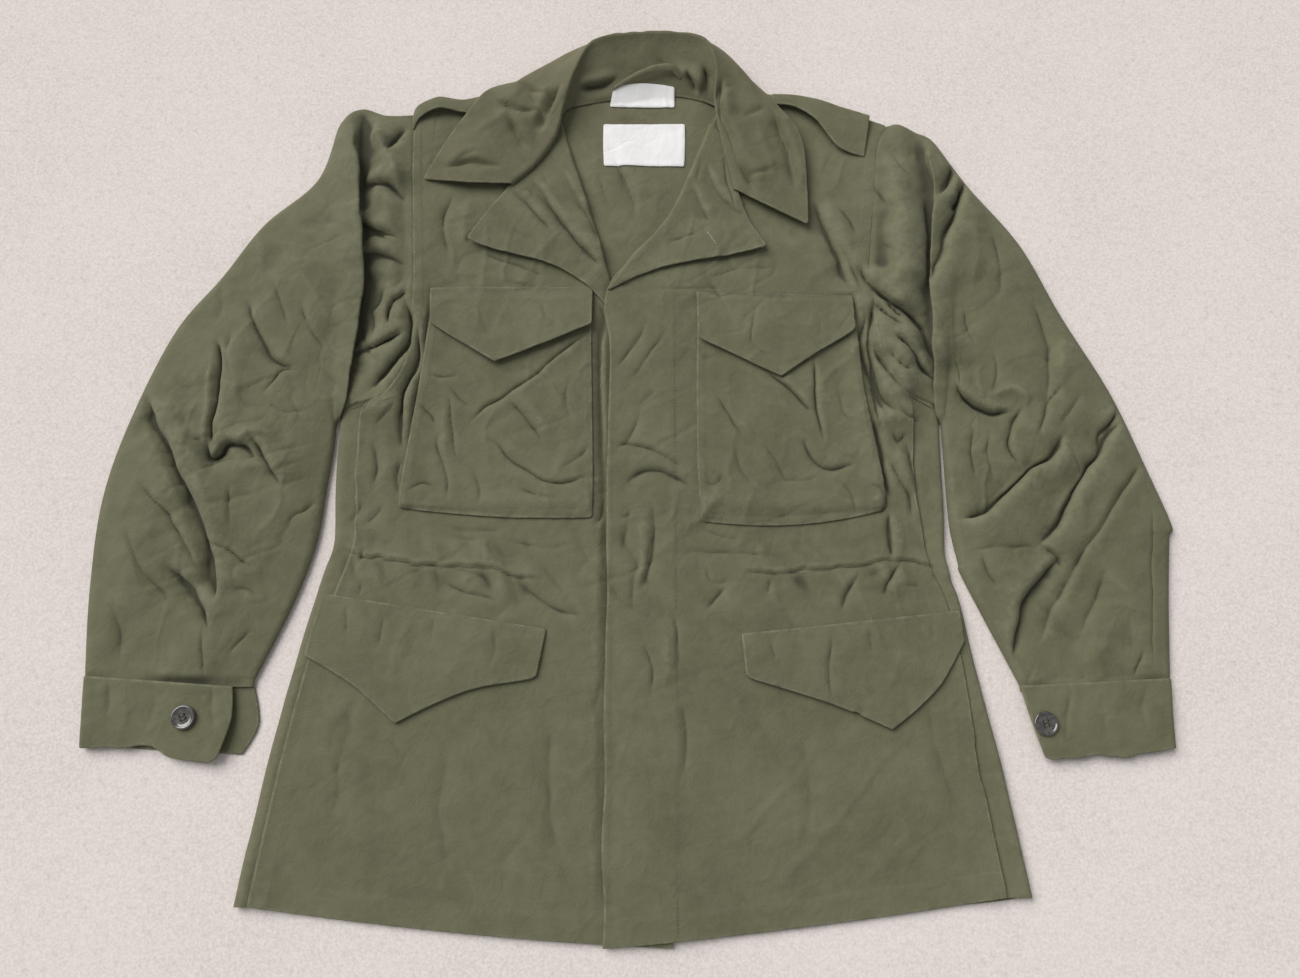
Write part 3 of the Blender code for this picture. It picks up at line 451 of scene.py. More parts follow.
UNDERARM_CREASES = {RIGHT: traced(8, [
    (3, 4.4, -7, "348,355 362,348 380,342 394,336 410,328", 2, 9),
    (24, 22, 3.8, "402,270 398,320 388,370 384,430", 0, 9),
    (4.4, 5.5, -8, "404,296 410,314 412,328 408,342 400,356 390,368 378,380 367,392", 0, 9),
    (3, 4, -4.6, "388,330 389,314 393,304 400,298 412,289", 0, 9),
    (4, 4, 2.4, "398,326 402,312 400,306", 0, 9),
    (3.5, 7, -5, "420,320 420,348 416,368 408,384 403,398 402,418 400,450"),
    (5, 5, 2.4, "412,346 400,368 388,382"),
    (5.2, 5.2, 1.4, "410,395 410,420 408,445"),
    (4, 8, -5.6, "348,216 364,225 376,230 400,238", 0, 10),
    (4, 5, -2.8, "362,229 382,238 400,249", 0, 10),
    (5, 5, 1.8, "358,238 378,246 398,254", 0, 10),
    (4, 7, -4, "350,254 378,252 392,256 408,263", 0, 10),
    (6, 6, 1.6, "358,268 378,268 402,276", 0, 10),
    (8, 6, 5.4, "377,112 379,134 386,152 396,168 403,196", 0, 12),
    (5, 8, -7, "352,190 364,183 376,181 388,184 396,190 407,201", 0, 11),
    (4, 6, -5, "407,124 398,134 392,142 384,153", 0, 11),
    (10, 10, -5, "360,104 364,126 364,148 360,176 356,194", 0, 11),
    (4, 4, -2, "366,300 374,318 372,338", 0, 9),
    (5, 5, -2, "384,284 378,300 366,312", 0, 9),
    (3.9, 3.9, -1.5, "376,392 366,404 356,414"),
    (5.2, 5.2, -1.5, "394,398 384,412 372,426"),
    (5.2, 5.2, -1.4, "344,440 348,470 342,500"),
    (4.5, 4.5, -1.8, "402,452 396,480 399,505"),
    (5.2, 5.2, -1.7, "372,440 376,466 370,490"),
    (4.5, 4.5, -1.5, "364,498 356,516 340,524"),
    (5.2, 5.2, -1.4, "384,500 374,516 362,528"),
    (6.5, 6.5, 1.3, "386,430 386,462 380,492"),
]), LEFT: traced(8, [
    (24, 26, 5.8, "866,264 884,326 898,384 908,444", 0, 9),
    (22, 20, 3.6, "888,146 898,200 906,250 914,296", 0, 10),
    (5.8, 12, -10,
        "860,262 868,282 877,292 890,300 903,308 915,316 924,328 930,342 935,356 938,374", 3, 10),
    (7.2, 10, -10, "870,302 881,314 891,323 905,331", 0, 9),
    (4.1, 4.5, -5.5, "884,302 894,314 904,324", 0, 9),
    (4.9, 7.5, -9.2, "886,334 902,346 913,357 925,369 940,384", 0, 9),
    (4.3, 6.6, -8, "884,346 893,360 902,368 914,375", 0, 9),
    (5.8, 9, -6.2, "868,358 878,386 888,402 903,417", 0, 9),
    (4.9, 7.5, -7, "870,336 882,362 894,380 909,398", 0, 9),
    (4, 4, 2.6, "884,336 890,343 882,352", 0, 9),
    (3, 3, 2.4, "908,352 918,362 926,372", 0, 9),
    (5.8, 9, -5.5, "872,296 868,330 870,360 878,395 892,424"),
    (3, 4, -3.8, "861,306 860,340 864,370 873,402 884,436"),
    (5, 5, 2.2, "866,320 866,350 870,380"),
    (3.5, 3.5, -2.4, "896,404 904,414 914,418 928,415"),
    (4, 4, -2, "892,428 898,442 906,430"),
    (4, 4, -2, "924,424 926,440 934,430"),
    (5, 5, -2.2, "905,440 912,470 920,500"),
    (4, 4, -2.4, "884,446 896,470 908,498 914,525"),
    (5, 5, 2, "892,440 904,468 914,500"),
    (4, 4, -2, "926,450 932,480 936,512"),
    (4, 4, -1.8, "878,450 884,470 890,490"),
    (12, 7, -7.5, "924,196 930,235 930,262 936,292", 0, 11),
    (5, 4, 3, "926,146 932,164 940,184", 0, 11),
    (5.8, 10, -6.2, "958,158 951,176 946,190 941,206", 0, 11),
    (5.8, 6, -6.2, "962,190 956,202 950,214", 0, 11),
    (5.1, 9, -6.2, "968,174 962,195 957,212 951,235 945,262 940,292", 0, 11),
    (4, 4, 2.6, "962,172 955,190 950,212", 0, 11),
    (5, 5, -2.2, "890,150 900,168 916,178", 0, 10),
    (6, 6, 1.8, "880,190 896,206 908,226", 0, 10),
    (6, 6, -1.6, "868,178 882,200 896,212", 0, 10),
    (5, 5, -1.4, "880,240 898,256 916,268", 0, 10),
])}
FRONT_CREASES = {RIGHT: traced(7, [
    (3, 9, -4.2, "601,300 603,330 601,360 600,390 602,420 604,450 605,500 606,560"),
    (3.5, 5, -2.6, "604,498 600,514 590,526"),
    (6, 6, -2, "519,583 543,602 560,612 585,617"),
    (3.5, 3.5, -1.8, "440,580 462,592 476,596 505,600"),
    (4, 4, -1.6, "450,568 482,578 490,588"),
    (3.5, 3.5, -2, "364,545 358,565"),
    (4, 4, -1.2, "362,582 358,596"),
    (9, 9, -1.6, "602,676 590,720"),
    (14, 14, -1.6, "552,720 548,790 558,860"),
    (16, 16, -1.4, "452,740 440,810 446,880"),
    (12, 12, -1.2, "353,690 340,760 330,830"),
    (8, 8, -2, "454,190 444,222 450,262", 0, 8),
    (7, 7, 1.8, "470,196 462,230 470,258", 0, 8),
    (5, 5, -1.6, "470,250 508,262 550,276", 0, 8),
    (5, 5, 1.2, "440,268 480,276 520,278", 0, 8),
    (2.4, 2.4, -1.4, "494,283 520,284 556,286", 0, 8),
    (4, 4, -2, "596,300 604,318 606,334", 0, 8),
    (5, 5, -1.4, "436,524 470,530 510,528"),
    (3, 3, -1.2, "500,540 540,546 580,544"),
    (4, 4, -1.2, "440,534 470,540 492,536"),
]), LEFT: traced(7, [
    (6, 12, -4.6, "812,196 824,228 838,260 852,294", 2, 8),
    (9, 9, 2.2, "824,196 846,240 866,276", 0, 8),
    (4.5, 4.5, -2.4, "838,206 850,224 858,240", 0, 8),
    (4, 4, -2, "850,262 858,284 860,300", 0, 8),
    (5, 5, -1.8, "650,318 634,344 614,372", 0, 8),
    (4, 4, -1.4, "672,326 650,352 630,384", 0, 8),
    (6, 6, -1.2, "660,388 632,412"),
    (4, 7, -1.9, "608,443 638,447 664,456 692,470"),
    (5, 8, -2.4, "620,494 632,478 648,471 668,472 682,480 698,494"),
    (5, 5, -1.4, "616,520 634,513"),
    (7, 5, -1.6, "652,500 654,545 642,600"),
    (5, 5, 2.2, "645,506 642,550 637,598"),
    (6, 6, -1.1, "628,506 626,530 621,560"),
    (7, 7, -1.7, "640,548 634,580 632,618"),
    (6, 6, -1.3, "656,522 648,555 646,588"),
    (3.5, 3.5, -1.4, "700,526 725,536 748,541"),
    (3.5, 3.5, -1.2, "686,552 730,552 780,556"),
    (3.5, 3.5, -1.4, "706,562 710,582 738,580"),
    (4, 4, -2.8, "862,570 848,592 841,614"),
    (4, 4, -2.8, "902,560 890,580 884,596"),
    (4, 4, -1.8, "770,578 766,596"),
    (6, 6, -1.8, "727,583 704,612"),
    (3.5, 3.5, -1.6, "903,584 922,586"),
    (3, 5, -4, "888,508 889,530 893,562"),
    (4, 6, -3.6, "868,396 880,446 893,504", 0, 8),
    (6, 6, 1.6, "892,455 914,500 924,535"),
    (5, 5, -1.8, "904,478 918,512 922,530"),
    (10, 10, -1.6, "680,686 686,735 680,790"),
    (14, 14, -1.4, "928,700 940,760 960,815"),
    (16, 16, -1.2, "800,728 808,800 800,860"),
    (7, 7, -1.4, "830,232 850,262 862,292", 0, 8),
    (6, 6, -1.2, "700,280 744,268 782,268", 0, 8),
    (2.4, 2.4, -1.2, "650,292 690,289 730,288", 0, 8),
    (5, 5, -1.6, "640,412 630,440 612,452"),
    (4, 4, -1.4, "672,600 678,640 674,680"),
    (4, 4, -1.4, "640,640 652,670 648,700"),
    (5, 5, 1.4, "664,620 668,660 664,700"),
])}
POCKET_CREASES = {RIGHT: traced(9, [
    (2, 3, -2.8, "592,329 560,354 534,375 516,388 496,401 466,423"),
    (4, 4, -2, "502,398 518,409 533,428 546,447"),
    (6, 6, 1.5, "520,396 540,418 556,440"),
    (3, 3.5, -2.6, "493,438 508,458 528,473 545,480 572,481 592,472"),
    (4, 4, -1.8, "516,488 538,496 562,500"),
    (3, 5, -2, "438,430 438,446 444,464 448,482 447,506"),
    (2.4, 3, -1.8, "448,388 450,420 454,440 457,464"),
    (3, 3, -1.6, "447,384 459,399 474,408"),
    (3, 3, -1.4, "428,371 442,377 460,374"),
    (3.5, 3.5, -1.8, "418,402 428,414 436,428"),
    (5, 5, 1.8, "442,400 443,430 448,458"),
    (4, 4, -1.4, "404,492 422,484 440,490"),
    (5, 5, -1.4, "470,470 480,490 476,508"),
    (5, 5, 1.2, "500,436 520,452 546,462"),
    (4, 4, -1.4, "560,470 580,455 590,440"),
    (4, 4, -1.2, "480,436 500,446 508,470"),
    (5, 5, -1.3, "572,372 566,400 574,430"),
]), LEFT: traced(9, [
    (2, 3.2, -3.4, "748,358 765,369 780,381 800,398 819,417"),
    (2, 2.6, -3, "812,352 816,380 818,412 826,446"),
    (3.5, 4, -3, "802,436 811,454 821,466 836,468 858,462"),
    (4, 4, -1.7, "716,392 730,416 746,442"),
    (4, 4, -1.6, "762,440 776,462 790,484"),
    (5, 5, -1.3, "732,440 740,470 760,492"),
    (4, 4, -1.6, "836,478 852,496 856,516"),
    (5, 5, 1.6, "832,440 846,452 860,446"),
    (3, 3, -1.8, "866,492 872,486 882,489 886,500 880,511 869,508"),
    (3, 3, 1.4, "872,497 879,500 876,505"),
    (4, 4, -1.2, "700,480 716,484 724,470"),
    (4, 4, -1.2, "780,478 806,480 822,476"),
    (5, 5, 1.2, "748,398 764,420 784,440"),
    (5, 5, -1.2, "838,390 842,410 856,424"),
])}
CHEST_FLAP_CREASES = {RIGHT: traced(11, [
    (7, 7, -1, "478,300 484,325 490,345"),
    (6, 6, -0.8, "540,300 546,326"),
    (5, 5, -0.8, "440,310 470,318 486,332"),
]), LEFT: traced(11, [
    (2.6, 2.6, -1.2, "756,300 752,325 751,344 762,354 778,366"),
    (5, 5, -0.8, "812,305 820,320 817,342"),
    (4, 4, -0.9, "836,336 846,320 852,312"),
])}
SKIRT_FLAP_CREASES = {RIGHT: traced(8, [
    (6, 6, -1.4, "383,616 378,648"),
    (6, 6, -1.2, "494,622 494,650 487,672"),
    (6, 6, -1, "434,615 432,642"),
    (5, 5, -1.2, "348,604 346,642"),
    (5, 5, 1, "404,612 404,646 396,672"),
]), LEFT: traced(8, [
    (4, 4, -2, "832,634 831,660 830,684 834,704"),
    (5, 5, -1.4, "769,642 775,661"),
    (6, 6, -1.2, "868,628 872,656"),
    (5, 5, -1.2, "930,622 934,640"),
    (6, 6, -1, "858,704 866,716"),
    (5, 5, 1, "900,634 898,664 886,694"),
])}
LAPEL_CREASES = {RIGHT: traced(13, [
    (2.6, 5, -3.6, "553,158 566,178 586,212 604,252"),
    (2.8, 7, -4, "525,170 546,199 567,226 588,250 604,268"),
    (3, 5, -3, "506,182 530,206 554,235"),
    (2.6, 2.6, -1.2, "540,170 547,184"),
    (6, 6, 1, "566,155 580,186 596,222"),
    (5, 5, -0.9, "498,216 516,232 546,244"),
    (2, 2, -1.6, "522,186 528,188 531,193"),
]), LEFT: traced(13, [
    (2.6, 6, -4.2, "706,158 716,184 732,204 748,214"),
    (3, 7, -3.4, "690,176 698,198 712,220"),
    (2.6, 2.6, -1.8, "722,142 728,176 738,212"),
    (3.5, 3.5, -1.6, "702,152 698,180"),
    (3, 3, -1.8, "742,206 750,196 748,190"),
    (5, 5, -0.9, "660,246 690,232 716,238"),
])}
COLLAR_CREASES = traced(17, [
    (4, 9, -5.2, "506,114 521,136 530,152 535,172", 0, 13),
    (3.5, 9, -6.4, "563,84 552,106 544,126 539,147", 0, 15),
    (6, 6, 2.6, "550,84 538,108 530,130", 0, 15),
    (3, 4, -3.6, "534,132 546,142 553,158", 0, 14),
    (4, 6, -3.6, "496,98 518,110 542,112", 0, 15),
    (4, 9, -4.4, "528,86 540,112 552,138", 0, 14),
    (4, 8, -3.4, "442,166 470,160 504,166", 0, 13),
    (5, 6, -3.1, "503,74 532,90 564,104"),
    (5, 5, 1.8, "470,130 492,120 514,104"),
    (4, 4, -1.6, "450,160 474,150 490,160"),
    (4, 4, -1.8, "548,92 552,112 542,130"),
    (3, 3, -1.8, "744,174 778,166"),
    (3.5, 3.5, -2.1, "742,116 768,106"),
    (4, 10, -4.9, "714,90 730,140 744,168 761,194", 0, 15),
    (3, 5, -4.2, "722,80 718,104 722,126", 0, 16),
    (3, 4, -3.4, "711,126 721,148 727,172", 0, 15),
    (4, 9, -3.9, "770,108 788,146 799,188", 0, 13),
    (5, 5, -1.6, "716,110 722,92 736,88"),
    (4, 4, -1.6, "780,140 790,164 796,190"),
    (5, 5, 1.6, "758,120 768,150 776,180"),
])
INNER_BACK_CREASES = traced(5, [
    (5, 10, -2.4, "614,152 624,178 632,208 634,228"),
    (8, 8, 1.2, "640,165 648,200"),
    (3, 3, -1.2, "566,100 608,94"),
    (4, 4, -1.4, "680,82 700,82 714,92"),
    (4, 4, -1.6, "598,168 606,200 618,230"),
    (6, 6, 1, "660,170 656,205 650,230"),
])

# The drawn channel at the waist, from the wearer's right to the left
CASINGS = {
    RIGHT: [(-262, -97), (-232, -107), (-199, -112), (-147, -116), (-98, -122), (-75, -129)],
    LEFT: [(97, -124), (138, -120), (182, -116), (234, -112), (280, -119)],
}

# Smaller creases, on the floor plan
CUFF_CREASES = {
    RIGHT: table(Crease, [
        (5, 5, -1.4, [(-440, -214), (-436, -232), (-438, -250)]),
        (7, 7, -1.1, [(-405, -262), (-398, -240), (-402, -220)]),
        (4, 4, -1.5, [(-352, -216), (-350, -236), (-344, -258)]),
        (6, 6, 1.0, [(-425, -216), (-421, -240), (-424, -268)]),
    ]),
    LEFT: table(Crease, [
        (6, 6, -1.2, [(436, -216), (430, -238), (433, -262)]),
        (8, 8, -1.0, [(402, -276), (396, -250), (399, -222)]),
        (4, 4, -1.3, [(370, -220), (368, -240), (362, -270)]),
    ]),
}
STAND_CREASES = table(Crease, [
    (4, 8, -5.7, [(-54, 368), (-38, 382), (-22, 402)]),
    (3.5, 6, -4.9, [(-56, 352), (-34, 362), (-12, 368)]),
    (7, 7, 4.3, [(-20, 408), (-5, 392), (8, 378)]),
    (4, 7, -4.9, [(10, 406), (24, 394), (34, 378)]),
    (6, 6, 3.5, [(30, 404), (44, 388), (60, 366)]),
    (7, 4, -5.7, [(60, 404), (70, 382), (74, 352)]),
    (3, 5, -4.1, [(52, 378), (60, 364), (64, 354)]),
])

# What differs from side to side
CUFF_CURLS = {RIGHT: 2.6, LEFT: 1.0}  # how far the cuffs' upper ends lift
LAPEL_LIFTS = {RIGHT: 5.2, LEFT: 4.4}  # how far their lower corners lift
POCKET_CORNERS = {RIGHT: 2.5, LEFT: 8}  # radius of their outer lower corners
BELLOWS = {RIGHT: 2.6, LEFT: 4.4}  # how high the pockets' outer sides stand


# Curves and grids


def curve(knots, t):
    """Points at shares t of the way between the middle two of four rows of knots."""
    a, b, c, d = knots
    bend = (2 * a - 5 * b + 4 * c - d) * t**2 + (3 * b - a - 3 * c + d) * t**3
    return 0.5 * (2 * b + (c - a) * t + bend)


def spline(rows, places):
    """Points on a smooth curve through the rows of a table, at places counted in rows."""
    rows = np.asarray(rows, float)
    places = np.clip(np.asarray(places, float), 0, len(rows) - 1)
    start = np.minimum(places.astype(int), len(rows) - 2)
    knots = [rows[np.clip(start + k, 0, len(rows) - 1)] for k in (-1, 0, 1, 2)]
    return curve(knots, (places - start)[..., None])


def fine_line(knots, pieces):
    """A smooth line through knots, divided into pieces between each two of them."""
    return spline(knots, np.linspace(0, len(knots) - 1, pieces * (len(knots) - 1) + 1))


def lengths(points):
    """How far along a path each of its points lies."""
    steps = np.linalg.norm(np.diff(points, axis=0), axis=1)
    return np.concatenate([[0.0], np.cumsum(steps)])


def stations(rows, step, guides):
    """Places in a table, about step apart along its guide columns, and the table's length."""
    fine = np.linspace(0, len(rows) - 1, 30 * (len(rows) - 1) + 1)
    line = spline(rows, fine)
    run = sum(lengths(line[:, list(guide)]) for guide in guides) / len(guides)
    count = max(round(run[-1] / step), 1)
    return np.interp(np.linspace(0, run[-1], count + 1), run, fine), run[-1]


def patch(rows, step, guides, wide, corners=(0, 0, 0, 0)):
    """Places in a table and shares across it, as a grid of points about step apart.

    corners are the radii at the first row's two ends, then at the last row's two ends.
    """
    places, long = stations(rows, step, guides)
    down = np.linspace(0, long, len(places))
    over = np.linspace(0, wide, max(round(wide / step), 1) + 1)
    v, u = np.meshgrid(down, over, indexing="ij")
    for k, radius in enumerate(corners):
        if radius:
            a = u if k % 2 == 0 else wide - u
            b = v if k < 2 else long - v
            near = (a < radius) & (b < radius)
            p, q = radius - a[near], radius - b[near]
            a[near] = radius - p * np.sqrt(1 - q**2 / (2 * radius**2))
            b[near] = radius - q * np.sqrt(1 - p**2 / (2 * radius**2))
            u = a if k % 2 == 0 else wide - a
            v = b if k < 2 else long - b
    return np.interp(v, down, places), u / wide


def across(rows, places, share):
    """Points at shares of the way from a table's sides to its middle; x and y."""
    side_x, side_y, middle_x, middle_y, bow = np.moveaxis(spline(rows, places), -1, 0)
    x = side_x + (middle_x - side_x) * share
    return x, side_y + (middle_y - side_y) * share + bow * 4 * share * (1 - share)


def grid(x, y, z):
    """Coordinates as a grid of points."""
    return np.stack(np.broadcast_arrays(x, y, z), axis=-1).astype(float)


def bump(distance, reach):
    """1 at no distance, and softly down to nothing past the reach."""
    return np.exp(-((distance / reach) ** 2))


def fade(value, none, full):
    """0 at none, 1 at full, smooth between."""
    t = np.clip((value - none) / (full - none), 0, 1)
    return t * t * (3 - 2 * t)


def hills(x, y, size, seed):
    """Soft random hills and hollows about size apart, from -1 to 1. Each seed has its own."""
    lattice = np.random.default_rng(seed).uniform(-1, 1, (61, 61))
    u, v = x / size + 40.3, y / size + 40.7
    i, j = np.floor(u).astype(int), np.floor(v).astype(int)
    s, t = u - i, v - j
    s, t = (w**3 * (w * (6 * w - 15) + 10) for w in (s, t))
    low = lattice[i % 61, j % 61] * (1 - s) + lattice[(i + 1) % 61, j % 61] * s
    high = lattice[i % 61, (j + 1) % 61] * (1 - s) + lattice[(i + 1) % 61, (j + 1) % 61] * s
    return low * (1 - t) + high * t


# Sets of small creases: how far apart, how high or deep, and their direction in radians
CRUMPLES = [
    (46, 1.5, 0.9), (34, -1.3, 2.2), (26, 1.0, 1.5),
    (19, -0.8, 0.4), (13, 0.5, 2.6), (9, -0.32, 1.2),
]


def crumple(x, y, seed):
    """Sharp little crests and furrows in patches, as in cloth that has been packed away."""
    bent_x = x + 12 * hills(x, y, 70, seed) + 3 * hills(x, y, 19, seed + 1)
    bent_y = y + 12 * hills(x, y, 70, seed + 2) + 3 * hills(x, y, 19, seed + 3)
    rise = np.zeros(x.shape)
    for k, (size, high, turn) in enumerate(CRUMPLES):
        along = bent_x * math.cos(turn) + bent_y * math.sin(turn)
        aside = bent_y * math.cos(turn) - bent_x * math.sin(turn)
        line = np.clip(1 - 2.6 * np.abs(hills(along / 2.4, aside, size, seed + 10 + k)), 0, 1)
        patches = fade(hills(x, y, 75, seed + 20 + k), -0.2, 0.5)
        rise += high * line**1.5 * patches
    return rise


def beside(path, x, y):
    """Where points lie by a path: how far to its left, how far along, and its own direction."""
    a, b = path[:-1], path[1:]
    run = b - a
    size = np.maximum((run**2).sum(1), 1e-9)
    px, py = x[..., None] - a[:, 0], y[..., None] - a[:, 1]
    share = np.clip((px * run[:, 0] + py * run[:, 1]) / size, 0, 1)
    gap = (px - share * run[:, 0]) ** 2 + (py - share * run[:, 1]) ** 2
    nearest = gap.argmin(-1)
    pick = nearest[..., None]
    side = np.take_along_axis(run[:, 0] * py - run[:, 1] * px, pick, -1)[..., 0]
    distance = np.sqrt(np.take_along_axis(gap, pick, -1)[..., 0])
    there = np.take_along_axis(share, pick, -1)[..., 0] * np.sqrt(size)[nearest]
    heading = run[nearest] / np.sqrt(size)[nearest][..., None]
    return np.where(side >= 0, distance, -distance), lengths(path)[nearest] + there, heading


def within(line, reach, x, y):
    """Which points lie in a box that reaches a distance past a line."""
    low, high = line.min(0) - reach, line.max(0) + reach
    return (x > low[0]) & (x < high[0]) & (y > low[1]) & (y < high[1])


def inside(outline, x, y):
    """How far inside a closed outline the points lie; minus outside it, down to -40."""
    loop = np.array(list(outline) + [outline[0]], float)
    reach = 40.0
    near = within(loop, reach, x, y)
    depth = np.full(x.shape, -reach)
    nx, ny = x[near], y[near]
    held = np.zeros(nx.shape, bool)
    for (ax, ay), (bx, by) in zip(loop[:-1], loop[1:]):
        if ay != by:
            held ^= ((ay > ny) != (by > ny)) & (nx < (bx - ax) * (ny - ay) / (by - ay) + ax)
    distance = np.abs(beside(loop, nx, ny)[0])
    depth[near] = np.where(held, distance, -distance)
    return depth


def relief(creases, x, y):
    """Rise of the cloth at points x, y, and its shifts in x and y, from the creases near them.

    A furrow's narrower side climbs fast to a lip that runs out slowly; its wider side is a slope.
    """
    moved = np.zeros((3,) + x.shape)
    bent_x = x + 1.4 * hills(x, y, 21, 131) + 0.35 * hills(x, y, 8, 132)
    bent_y = y + 1.4 * hills(x, y, 21, 133) + 0.35 * hills(x, y, 8, 134)
    for crease in creases:
        path = fine_line(crease.path, 5)
        near = within(path, 6.5 * max(crease.left, crease.right), x, y)
        if not near.any():
            continue
        side, run, heading = beside(path, bent_x[near], bent_y[near])
        total = lengths(path)[-1]
        ends = min(0.36 * total, 26)
        full = fade(run, 0, ends) * fade(total - run, 0, ends)
        full *= np.where((run <= 0) | (run >= total), 0.0, 1.0)
        full *= 0.86 + 0.3 * hills(run, run * 0 + 9 * total, 17, 135)
        own = np.where(side > 0, crease.left, crease.right)
        wide = own * (0.5 + 0.5 * full)
        s = np.abs(side) / wide
        deep = RELIEF * abs(crease.rise) * math.sqrt(abs(crease.rise) / 3)
        deep = math.copysign(STRONGEST * math.tanh(deep / STRONGEST), crease.rise)
        pull = np.zeros(s.shape)
        if crease.rise < 0:
            steep = np.clip(0.5 + 3.0 * (0.5 - own / (crease.left + crease.right)), 0, 1)
            lip = (0.12 + 0.6 * steep) * (1 - np.exp(-s / 0.9)) * bump(s, 4.4)
            roundness = 1.2 + 0.8 * math.exp(-abs(crease.rise) / 3)
            slope = 0.8 * np.exp(-((s / 0.75) ** roundness)) + 0.22 * np.exp(-((s / 2.4) ** 1.5))
            shape = steep * 1.1 * np.exp(-(s**1.15) / 0.6) + (1 - steep) * slope - lip
            pull = -0.42 * side * bump(s, 1.5) * full
        else:
            shape = np.exp(-(s**1.4))
        moved[0][near] += deep * shape * full
        if crease.lean:
            over = np.maximum(side * math.copysign(1, crease.lean), 0) / (1.4 * wide)
            pull -= crease.lean * over * np.exp(1 - over) * full
        moved[1][near] -= pull * heading[..., 1]
        moved[2][near] += pull * heading[..., 0]
    return moved


# Walls of cloth


def normals(middle, closed):
    """Unit normals of a grid of points, on its upper or outer side."""
    if closed:
        over = np.roll(middle, -1, 1) - np.roll(middle, 1, 1)
    else:
        over = np.gradient(middle, axis=1)
    n = np.cross(over, np.gradient(middle, axis=0))
    n /= np.maximum(np.linalg.norm(n, axis=-1, keepdims=True), 1e-9)
    return n


def smoothed(field, rounds):
    """The field after each point has been averaged with its neighbours a few times."""
    for _ in range(rounds):
        for axis in (0, 1):
            wide = np.concatenate([field.take([0], axis), field, field.take([-1], axis)], axis)
            low, mid, high = (wide.take(range(k, k + field.shape[axis]), axis) for k in (0, 1, 2))
            field = (low + 2 * mid + high) / 4
    return field


def rims(rows, columns, closed):
    """The edges of a grid as loops of point numbers, each in the faces' own direction."""
    numbers = np.arange(rows * columns).reshape(rows, columns)
    if closed:
        return [numbers[0], numbers[-1][::-1]]
    around = [numbers[0], numbers[1:, -1], numbers[-1, -2::-1], numbers[-2:0:-1, 0]]
    return [np.concatenate(around)]


def shell(middle, thick, outward=1, closed=False, turning=0):
    """Points, faces and cloth values of a wall of cloth round a grid, with rounded edges.

    outward is -1 where the grid's own normals point into the cloth's hidden side. With
    turning, the hidden side is only built that many cells in from the edges.
    """
    rows, columns = middle.shape[:2]
    up = normals(middle, closed) * outward
    top = (middle + up * thick / 2).reshape(-1, 3)
    low = (middle - up * thick / 2).reshape(-1, 3)
    flat, up = middle.reshape(-1, 3), up.reshape(-1, 3)
    points, count = [top, low], len(top)
    numbers = np.arange(count).reshape(rows, columns)
    right = np.roll(numbers, -1, 1) if closed else numbers[:, 1:]
    left = numbers if closed else numbers[:, :-1]
    cells = np.stack([left[:-1], right[:-1], right[1:], left[1:]], -1)
    hidden = np.ones(cells.shape[:2], bool)
    if turning:
        hidden[turning:-turning, (slice(None) if closed else slice(turning, -turning))] = False
    faces = [cells.reshape(-1, 4), cells[hidden][:, ::-1] + count]
    first = 2 * count
    for loop in rims(rows, columns, closed):
        ahead, behind = np.roll(loop, -1), np.roll(loop, 1)
        out = np.cross(flat[ahead] - flat[behind], up[loop]) * outward
        out /= np.maximum(np.linalg.norm(out, axis=1, keepdims=True), 1e-9)
        rings = [loop]
        for turn in (math.pi / 4, 0, -math.pi / 4):
            ring = up[loop] * math.sin(turn) + out * math.cos(turn)
            points.append(flat[loop] + ring * thick / 2)
            rings.append(np.arange(first, first + len(loop)))
            first += len(loop)
        rings.append(loop + count)
        for a, b in zip(rings, rings[1:]):
            faces.append(np.stack([np.roll(a, -1), a, b, np.roll(b, -1)], -1))
    points, faces = np.concatenate(points), np.concatenate(faces)
    if outward < 0:
        faces = faces[:, ::-1]
    height = middle[..., 2]
    # raised: how far each point stands above the cloth round it, finely and broadly; the cloth finish
    # darkens low points as painted shade and pales high ones, partly as wear and partly as a painted
    # highlight.
    raised = np.zeros(len(points))
    near = smoothed(height, 8)
    raised[:count] = (height - near + 0.4 * (height - smoothed(near, 70))).ravel()
    edge = np.zeros(len(points))
    edge[: 2 * count] = np.tile(inset(middle, closed).ravel(), 2)
    return points, faces, edge, raised


def inset(middle, closed):
    """How far each point of a grid lies from the grid's nearest edge, in mm."""
    down = np.linalg.norm(np.diff(middle, axis=0), axis=2)
    run = np.concatenate([np.zeros((1, middle.shape[1])), np.cumsum(down, 0)])
    far = np.minimum(run, run[-1] - run)
    if not closed:
        over = np.linalg.norm(np.diff(middle, axis=1), axis=2)
        run = np.concatenate([np.zeros((middle.shape[0], 1)), np.cumsum(over, 1)], 1)
        far = np.minimum(far, np.minimum(run, run[:, -1:] - run))
    return far


def placed(name, data):
    """A new object in the scene."""
    made = bpy.data.objects.new(name, data)
    bpy.context.scene.collection.objects.link(made)
    return made


